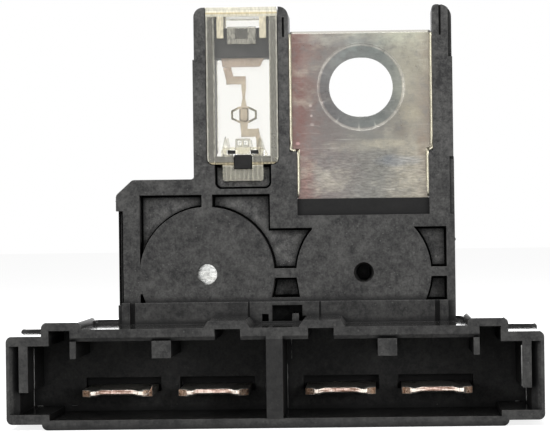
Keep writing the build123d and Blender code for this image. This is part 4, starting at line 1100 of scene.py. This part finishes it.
@dataclass
class Housing:
    """The black moulding with the marks that its mould left, strips of painted shadow in its pockets and rods
    of painted highlight in its sockets.
    """

    nylon: Material
    # The finish of the pale rods of painted highlight in the sockets.
    glint_nylon: Material
    # The finish of the strips of painted shadow along the pockets' walls.
    gap: Material
    bevel: float = 0.1 * MM
    shadow_strip_width: float = 0.31 * MM
    shadow_strip_rise: float = 0.02 * MM
    flash_half: float = 0.028 * MM
    flash_deep: Pair = (depth(19.9), depth(20.7))
    ejector_deep: float = 25.0
    nub_deep: float = 18.4
    peg_aside: float = 1.6
    peg_half: float = 0.53
    peg_ease: float = 0.06 * MM
    pockets: tuple[tuple[Point, Point], ...] = (
        ((-22.0 * MM, depth(19.9), 16.0 * MM), (24.0 * MM, depth(23.2), 33.0 * MM)),
        ((-9.2 * MM, depth(19.0), 31.0 * MM), (-0.2 * MM, depth(19.9), 37.0 * MM)),
    )
    gaps: tuple[tuple[Pair, ...], ...] = (
        ((1.87, 53.3), (1.87, 36.9)),
        ((1.8, 36.97), (2.92, 36.97)),
        ((2.87, 37.02), (2.87, 30.6)),
        ((21.63, 53.3), (21.63, 36.9)),
        ((21.7, 36.97), (20.98, 36.97)),
        ((21.03, 37.02), (21.03, 30.6)),
    )
    # Rods of painted highlight along the sockets' corners.
    upright_glint_rods: tuple[tuple[float, float, float, float], ...] = (
        (-32.68, 7.4, 5.1, 10.6),
        (-33.87, 17.6, 2.2, 4.9),
        (1.13, WALL_DEEP, 8.3, 11.5),
        (1.73, WALL_DEEP, 8.3, 11.5),
        (1.13, WALL_DEEP, 1.5, 7.6),
        (32.62, 0.13, 5.2, 10.6),
        (33.87, 14.5, 2.4, 4.9),
    )
    level_glint_rods: tuple[Point, ...] = ((-33.7, -32.9, 2.11), (-28.9, -28.1, 2.11), (32.6, 33.2, 2.11))
    specks: tuple[Pair, ...] = ((25.5, 2.54), (21.8, 1.75), (-14.9, 8.7))
    ejector_places: tuple[Pair, ...] = (
        (-19.6, 18.1), (-11.6, 18.1), (-8.0, 18.1), (-2.2, 18.1),
        (2.2, 18.1), (9.6, 18.1), (14.2, 18.1), (21.6, 18.1),
        (-19.6, 25.6), (-8.0, 25.6), (2.2, 25.6), (21.6, 25.6),
    )
    seam_deep: float = 22.5
    seams: tuple[Point, ...] = (
        (-11.43, 34.0, 49.6),
        (-11.23, 50.0, 55.6),
        (24.5, 14.4, 35.8),
        (24.43, 36.2, 49.6),
    )
    nubs: tuple[Point, ...] = ((24.5, 24.6, 0.22), (24.36, 47.4, 0.16), (-22.27, 30.4, 0.14))

    def build(self) -> None:
        """Dresses the moulding and adds its marks, its painted shadow strips and its painted highlight rods.
        """
        dress("housing", self.nylon, self.bevel)
        self.fill_gaps()
        self.add_glint_rods()
        self.line_pockets_with_shadow()
        self.add_ejector_marks()
        self.add_parting_lines()
        self.add_cover_pegs()

    def fill_gaps(self) -> None:
        """Adds the thin web of flash beside the bar, where the mould closed on the metal."""
        ragged = random.Random(3)
        mesh = bmesh.new()
        for path in self.gaps:
            line = [(across * MM, up * MM) for across, up in path]
            ribbon(mesh, line, self.flash_half, *self.flash_deep, ragged)
        new_piece("bar_flash", mesh, self.nylon, smooth=False)

    def add_glint_rods(self) -> None:
        """Adds thin pale rods of painted highlight in the sockets, mostly along their deep corners, and a few
        pale specks on their end wall.
        """
        ragged = random.Random(5)
        mesh = bmesh.new()
        for across, deep, low, high in self.upright_glint_rods:
            points = row(at(across, deep, low), at(across, deep, high), 12)
            tube(mesh, points, [ragged.uniform(0.045, 0.085) for _ in points])
        for across, up in self.specks:
            profile = ((0.03, 0.05), (0.07, 0.03), (0.08, -0.01))
            mound(mesh, at(across, SOCKET_END, up), Vector((0.0, -1.0, 0.0)), profile, 8)
        for left, right, up in self.level_glint_rods:
            points = row(at(left, WALL_DEEP, up), at(right, WALL_DEEP, up), 16)
            tube(mesh, points, [ragged.uniform(0.03, 0.07) for _ in points])
        new_piece("socket_glints_and_specks", mesh, self.glint_nylon)

    def is_pocket_floor(self, face: bmesh.types.BMFace) -> bool:
        """Returns whether a face looks to the front from the floor of one of the pockets."""
        middle = face.calc_center_median()
        boxes = (zip(first, middle, last) for first, last in self.pockets)
        inside = any(all(low < part < high for low, part, high in box) for box in boxes)
        return face.normal.y < -0.99 and inside

    def line_pockets_with_shadow(self) -> None:
        """Adds thin black strips of painted shadow on the floors of the front pockets, along their walls."""
        mesh = bmesh.new()
        mesh.from_mesh(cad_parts["housing"].data)
        bmesh.ops.remove_doubles(mesh, verts=mesh.verts, dist=1e-6)
        others = [face for face in mesh.faces if not self.is_pocket_floor(face)]
        bmesh.ops.delete(mesh, geom=others, context="FACES")
        inset = {"thickness": self.shadow_strip_width, "use_even_offset": True, "use_boundary": True}
        kept = set(bmesh.ops.inset_region(mesh, faces=mesh.faces, **inset)["faces"])
        bmesh.ops.delete(mesh, geom=[face for face in mesh.faces if face not in kept], context="FACES")
        bmesh.ops.dissolve_degenerate(mesh, dist=1e-6, edges=mesh.edges)
        bmesh.ops.translate(mesh, verts=mesh.verts, vec=(0.0, -self.shadow_strip_rise, 0.0))
        bmesh.ops.solidify(mesh, geom=mesh.faces, thickness=2.0 * self.shadow_strip_rise)
        new_piece("pocket_shadow_strips", mesh, self.gap, smooth=False)

    def add_ejector_marks(self) -> None:
        """Adds the round marks of the ejector pins on the floors of the rear pockets."""
        mesh = bmesh.new()
        profile = ((0.2, 0.01), (0.62, 0.012), (0.7, 0.06), (0.78, 0.06), (0.86, -0.02))
        for across, up in self.ejector_places:
            mound(mesh, at(across, self.ejector_deep, up), Vector((0.0, 1.0, 0.0)), profile, 24)
        new_piece("ejector_marks", mesh, self.nylon)

    def add_parting_lines(self) -> None:
        """Adds the fine ridges where the mould's halves met, and the stubs left by trimming."""
        ragged = random.Random(7)
        mesh = bmesh.new()
        for across, low, high in self.seams:
            points = row(at(across, self.seam_deep, low), at(across, self.seam_deep, high), 30)
            tube(mesh, points, [ragged.uniform(0.03, 0.06) for _ in points], 6)
        for across, up, radius in self.nubs:
            outward = Vector((math.copysign(1.0, across), 0.0, 0.0))
            shape = ((0.25, 0.5), (0.75, 0.36), (1.0, -0.1))
            profile = [(radius * out, radius * high) for out, high in shape]
            mound(mesh, at(across, self.nub_deep, up), outward, profile, 10)
        new_piece("parting_lines", mesh, self.nylon)

    def add_cover_pegs(self) -> None:
        """Adds the two pegs that stand in the slots of the front cover's tab."""
        mesh = bmesh.new()
        for side in (-1.0, 1.0):
            middle = COVER_MIDDLE + side * self.peg_aside
            low = at(middle - self.peg_half, 18.25, 36.76)
            high = at(middle + self.peg_half, 19.7, 37.24)
            rounded_block(mesh, low, high, self.peg_ease)
        new_piece("cover_pegs", mesh, self.nylon, smooth=False)


@dataclass
class StudBar:
    """The plated bar with the stud hole, and the plate behind the left pads."""

    plate: Material
    bright: Material
    cream: Material
    bevel: float = 0.08 * MM
    edges: tuple[tuple[Pair, ...], ...] = (
        ((1.94, 53.25), (1.94, 37.28), (2.1, 37.13), (2.7, 37.1)),
        ((2.94, 36.9), (2.94, 30.65)),
        ((21.57, 53.25), (21.57, 37.28), (21.42, 37.13), (21.1, 37.1)),
        ((20.97, 36.9), (20.97, 30.65)),
    )
    edge_radius: float = 0.26
    edge_deep: float = 19.49

    def build(self) -> None:
        """Dresses the bar and the inner plate and adds the bar's rolled edges."""
        dress("bus_bar", self.plate, self.bevel)
        dress("load_plate", self.bright, self.bevel)
        ragged = random.Random(13)
        mesh = bmesh.new()
        for edge in self.edges:
            points = trail([at(across, self.edge_deep, up) for across, up in edge], 0.8 * MM, 1)
            radii = [self.edge_radius * ragged.uniform(0.88, 1.08) for _ in points]
            tube(mesh, points, radii, 10)
        new_piece("bar_rolled_edges", mesh, self.cream)


@dataclass
class MainLink:
    """The stamped strip in the window and its pellet."""

    strip: Material
    tin: Material
    bevel: float = 0.05 * MM

    def build(self) -> None:
        """Dresses the strip and its pellet."""
        dress("main_fuse_link", self.strip, self.bevel)
        dress("main_link_pellet", self.tin, self.bevel)


@dataclass
class ClearCovers:
    """The two window covers and the lid over the terminal links."""

    clear: Material
    bevel: float = 0.08 * MM
    nodes: tuple[str, ...] = ("front_window_cover", "rear_window_cover", "rear_link_cover")
    gates: tuple[Point, ...] = ((COVER_MIDDLE, 19.4, 57.0), (COVER_MIDDLE, 25.6, 57.0))

    def build(self) -> None:
        """Dresses the covers and adds the mark of the gate on each flange."""
        for node in self.nodes:
            dress(node, self.clear, self.bevel)
        mesh = bmesh.new()
        profile = ((0.15, -0.01), (0.3, -0.005), (0.42, -0.04))
        for across, deep, up in self.gates:
            mound(mesh, at(across, deep, up), Vector((0.0, 0.0, 1.0)), profile, 18)
        new_piece("cover_gate_marks", mesh, self.clear)


@dataclass
class Terminals:
    """The four blade terminals with their links and pellets."""

    shelf: EffectShelf
    tin: Material
    middles: tuple[float, ...] = (-21.6, -8.57, 8.57, 21.6)
    bevel: float = 0.05 * MM
    level: float = 4.45
    pad_level: float = 11.4
    pad_back: float = 24.0
    burr_deep: float = 8.25
    weld_places: tuple[float, ...] = (-2.2, 0.0, 2.2)
    bead_pitch: float = 0.28
    bead_deep: float = 22.2
    bead_rise: float = 0.45

    def build(self) -> None:
        """Dresses each terminal in metal whose nose is coloured about its own middle."""
        for number, middle in enumerate(self.middles, start=1):
            metal = BladeMetal(name=f"blade_metal_{number}", middle=middle * MM).make(self.shelf)
            dress(f"blade_terminal_{number}", metal, self.bevel)
            dress(f"branch_pellet_{number}", self.tin, self.bevel)
            if number == 1:
                self.add_burr(middle, metal)
        self.add_welds()
        self.add_beads()

    def add_burr(self, middle: float, metal: Material) -> None:
        """Adds the sliver that stands up at the first blade's right end, where the press tore it."""
        mesh = bmesh.new()
        steps = (
            (3.1, -0.32, 0.07), (3.5, -0.36, 0.12), (3.95, -0.3, 0.13), (4.3, -0.08, 0.12),
            (4.55, 0.25, 0.1), (4.72, 0.62, 0.07), (4.8, 0.92, 0.02),
        )
        path = [at(middle + across, self.burr_deep, self.level + up) for across, up, _ in steps]
        tube(mesh, path, [radius for _, _, radius in steps], 7)
        new_piece("blade_burr", mesh, metal)

    def add_welds(self) -> None:
        """Adds the weld spots on the pads that the rear lid shows."""
        mesh = bmesh.new()
        profile = ((0.12, 0.03), (0.3, 0.1), (0.46, 0.07), (0.58, -0.02))
        for middle in self.middles:
            for aside in self.weld_places:
                place = at(middle + aside, self.pad_back, self.pad_level)
                mound(mesh, place, Vector((0.0, 1.0, 0.0)), profile, 18)
        new_piece("pad_welds", mesh, self.tin)

    def add_beads(self) -> None:
        """Adds the row of tiny solder beads that glint deep in each slot."""
        ragged = random.Random(11)
        mesh = bmesh.new()
        for middle in self.middles:
            for bead in range(-4, 5):
                radius = ragged.uniform(0.03, 0.07)
                across = middle + self.bead_pitch * bead + ragged.uniform(-0.06, 0.06)
                place = at(across, self.bead_deep, self.level + self.bead_rise)
                profile = [(0.3 * radius, radius), (0.8 * radius, 0.7 * radius), (radius, -0.2 * radius)]
                mound(mesh, place, Vector((0.0, -0.5, 1.0)), profile, 8)
        new_piece("slot_beads", mesh, self.tin)


# Room


@dataclass
class Room:
    """Floor, lamps, sky and camera."""

    eye: Point = (13.52 * MM, -413.5 * MM, 26.57 * MM)
    aim: Point = (-100.0 / FOCAL_PIXELS, 1.0, 9.0 / FOCAL_PIXELS)
    roll: float = math.radians(-0.72)
    sensor: float = 36.0
    lens: float = 36.0 * FOCAL_PIXELS / PICTURE_PIXELS
    sky_on_surfaces: float = 0.3
    lamps: tuple[tuple[str, Point, float, float], ...] = (
        ("key", (-0.1, -0.48, 0.66), 0.45, 3.6),
        ("fill", (0.4, -0.62, 0.16), 0.35, 2.0),
        ("left", (-0.42, -0.6, 0.18), 0.35, 1.6),
        ("top", (0.0, 0.15, 0.75), 0.6, 1.0),
    )
    card: tuple[Point, float, float] = ((0.0, 1.2, 0.3), 1.5, 9.5)
    target: Point = (0.0, 0.0, 0.026)
    floor_reach: float = 3.0
    floor_drop: float = 0.02 * MM
    floor_grain: float = 30.0
    floor_glow: float = 0.82
    floor_tones: tuple[Colour, Colour] = ((0.46, 0.46, 0.455), (0.44, 0.44, 0.44))

    def build(self) -> None:
        """Makes all that stands round the unit."""
        self.make_camera()
        self.make_sky()
        self.make_lamps()
        self.make_floor()
        bpy.context.scene.view_settings.view_transform = "Standard"

    def make_camera(self) -> None:
        """Stands the camera where the photograph was taken from."""
        data = bpy.data.cameras.new("camera")
        data.sensor_fit = "HORIZONTAL"
        data.sensor_width = self.sensor
        data.lens = self.lens
        data.clip_start, data.clip_end = 0.01, 20.0
        camera = bpy.data.objects.new("camera", data)
        camera.rotation_mode = "QUATERNION"
        camera.location = self.eye
        turn = Vector(self.aim).to_track_quat("-Z", "Y")
        camera.rotation_quaternion = turn @ Quaternion((0.0, 0.0, 1.0), self.roll)
        bpy.context.scene.collection.objects.link(camera)
        bpy.context.scene.camera = camera

    def seen_rays(self, bench: Bench) -> Socket:
        """Returns 1 for the rays that see the background itself, and 0 for all others."""
        path = bench.put("LightPath").outputs
        first = bench.larger(path["Is Camera Ray"], path["Is Glossy Ray"])
        return bench.larger(first, path["Is Transmission Ray"])

    def make_sky(self) -> None:
        """Makes a white sky that lights dull surfaces less than it shows."""
        world = bpy.data.worlds.new("sky")
        bpy.context.scene.world = world
        world.use_nodes = True
        world.node_tree.nodes.clear()
        bench = Bench(world.node_tree)
        strength = bench.span(self.seen_rays(bench), 0.0, 1.0, self.sky_on_surfaces, 1.0)
        back = bench.put("Background", {"Color": (1.0, 1.0, 1.0), "Strength": strength})
        bench.put("OutputWorld", {"Surface": back.outputs[0]})

    def make_lamps(self) -> None:
        """Hangs the soft lamps, each turned to the unit, and the card behind it that only gloss sees."""
        for name, place, size, power in (*self.lamps, ("card", *self.card)):
            data = bpy.data.lights.new(name, "AREA")
            data.shape = "DISK"
            data.size = size
            data.energy = power
            lamp = bpy.data.objects.new(name, data)
            lamp.location = place
            lamp.rotation_mode = "QUATERNION"
            lamp.rotation_quaternion = (Vector(self.target) - Vector(place)).to_track_quat("-Z", "Y")
            if name == "card":
                lamp.visible_camera = lamp.visible_diffuse = lamp.visible_transmission = False
            bpy.context.scene.collection.objects.link(lamp)

    def make_floor(self) -> None:
        """Lays the pale floor, which keeps the unit's shadow."""
        mesh = bmesh.new()
        bmesh.ops.create_circle(mesh, cap_ends=True, segments=64, radius=self.floor_reach)
        bmesh.ops.translate(mesh, verts=mesh.verts, vec=(0.0, 0.0, -self.floor_drop))
        data = bpy.data.meshes.new("floor")
        mesh.to_mesh(data)
        mesh.free()
        material = bpy.data.materials.new("pale_floor")
        material.use_nodes = True
        material.node_tree.nodes.clear()
        bench = Bench(material.node_tree)
        tone = bench.blend(bench.noise(bench.place(), self.floor_grain), *self.floor_tones)
        dull = bench.put("BsdfDiffuse", {"Color": tone})
        glimmer = bench.times(self.seen_rays(bench), self.floor_glow)
        glow = bench.put("Emission", {"Color": (1.0, 1.0, 1.0), "Strength": glimmer})
        both = bench.put("AddShader", {0: dull.outputs[0], 1: glow.outputs[0]})
        bench.put("OutputMaterial", {"Surface": both.outputs[0]})
        data.materials.append(material)
        floor = bpy.data.objects.new("floor", data)
        bpy.context.scene.collection.objects.link(floor)


def main() -> None:
    """Builds the room and each sub-assembly in order."""
    logging.basicConfig(level=logging.INFO, format="%(name)s: %(message)s")
    shelf = EffectShelf()
    Room().build()
    tin = SoftTin().make(shelf)
    Housing(MouldedNylon().make(shelf), PaintedGlintNylon().make(shelf), PaintedShadowStrip().make(shelf)).build()
    fresh_tints = ((0.0, (0.9, 0.91, 0.89)), (1.0, (0.9, 0.91, 0.89)))
    fresh = TinPlate(name="fresh_tin_plate", tints=fresh_tints, roughness=0.14, stains=())
    pale, dull, bright = (0.56, 0.53, 0.42), (0.4, 0.37, 0.3), (0.75, 0.71, 0.6)
    cream = LinkMetal(name="rolled_edge", tone=pale, low_tone=pale, dull_tone=dull, bright_tone=bright)
    StudBar(TinPlate().make(shelf), fresh.make(shelf), cream.make(shelf)).build()
    worn_tin = SoftTin(name="link_tin", tone=(0.52, 0.44, 0.34), dull_tone=(0.44, 0.37, 0.28), metallic=0.4)
    MainLink(LinkMetal().make(shelf), worn_tin.make(shelf)).build()
    Terminals(shelf, tin).build()
    ClearCovers(ClearPlastic().make(shelf)).build()


if __name__ == "__main__":
    main()
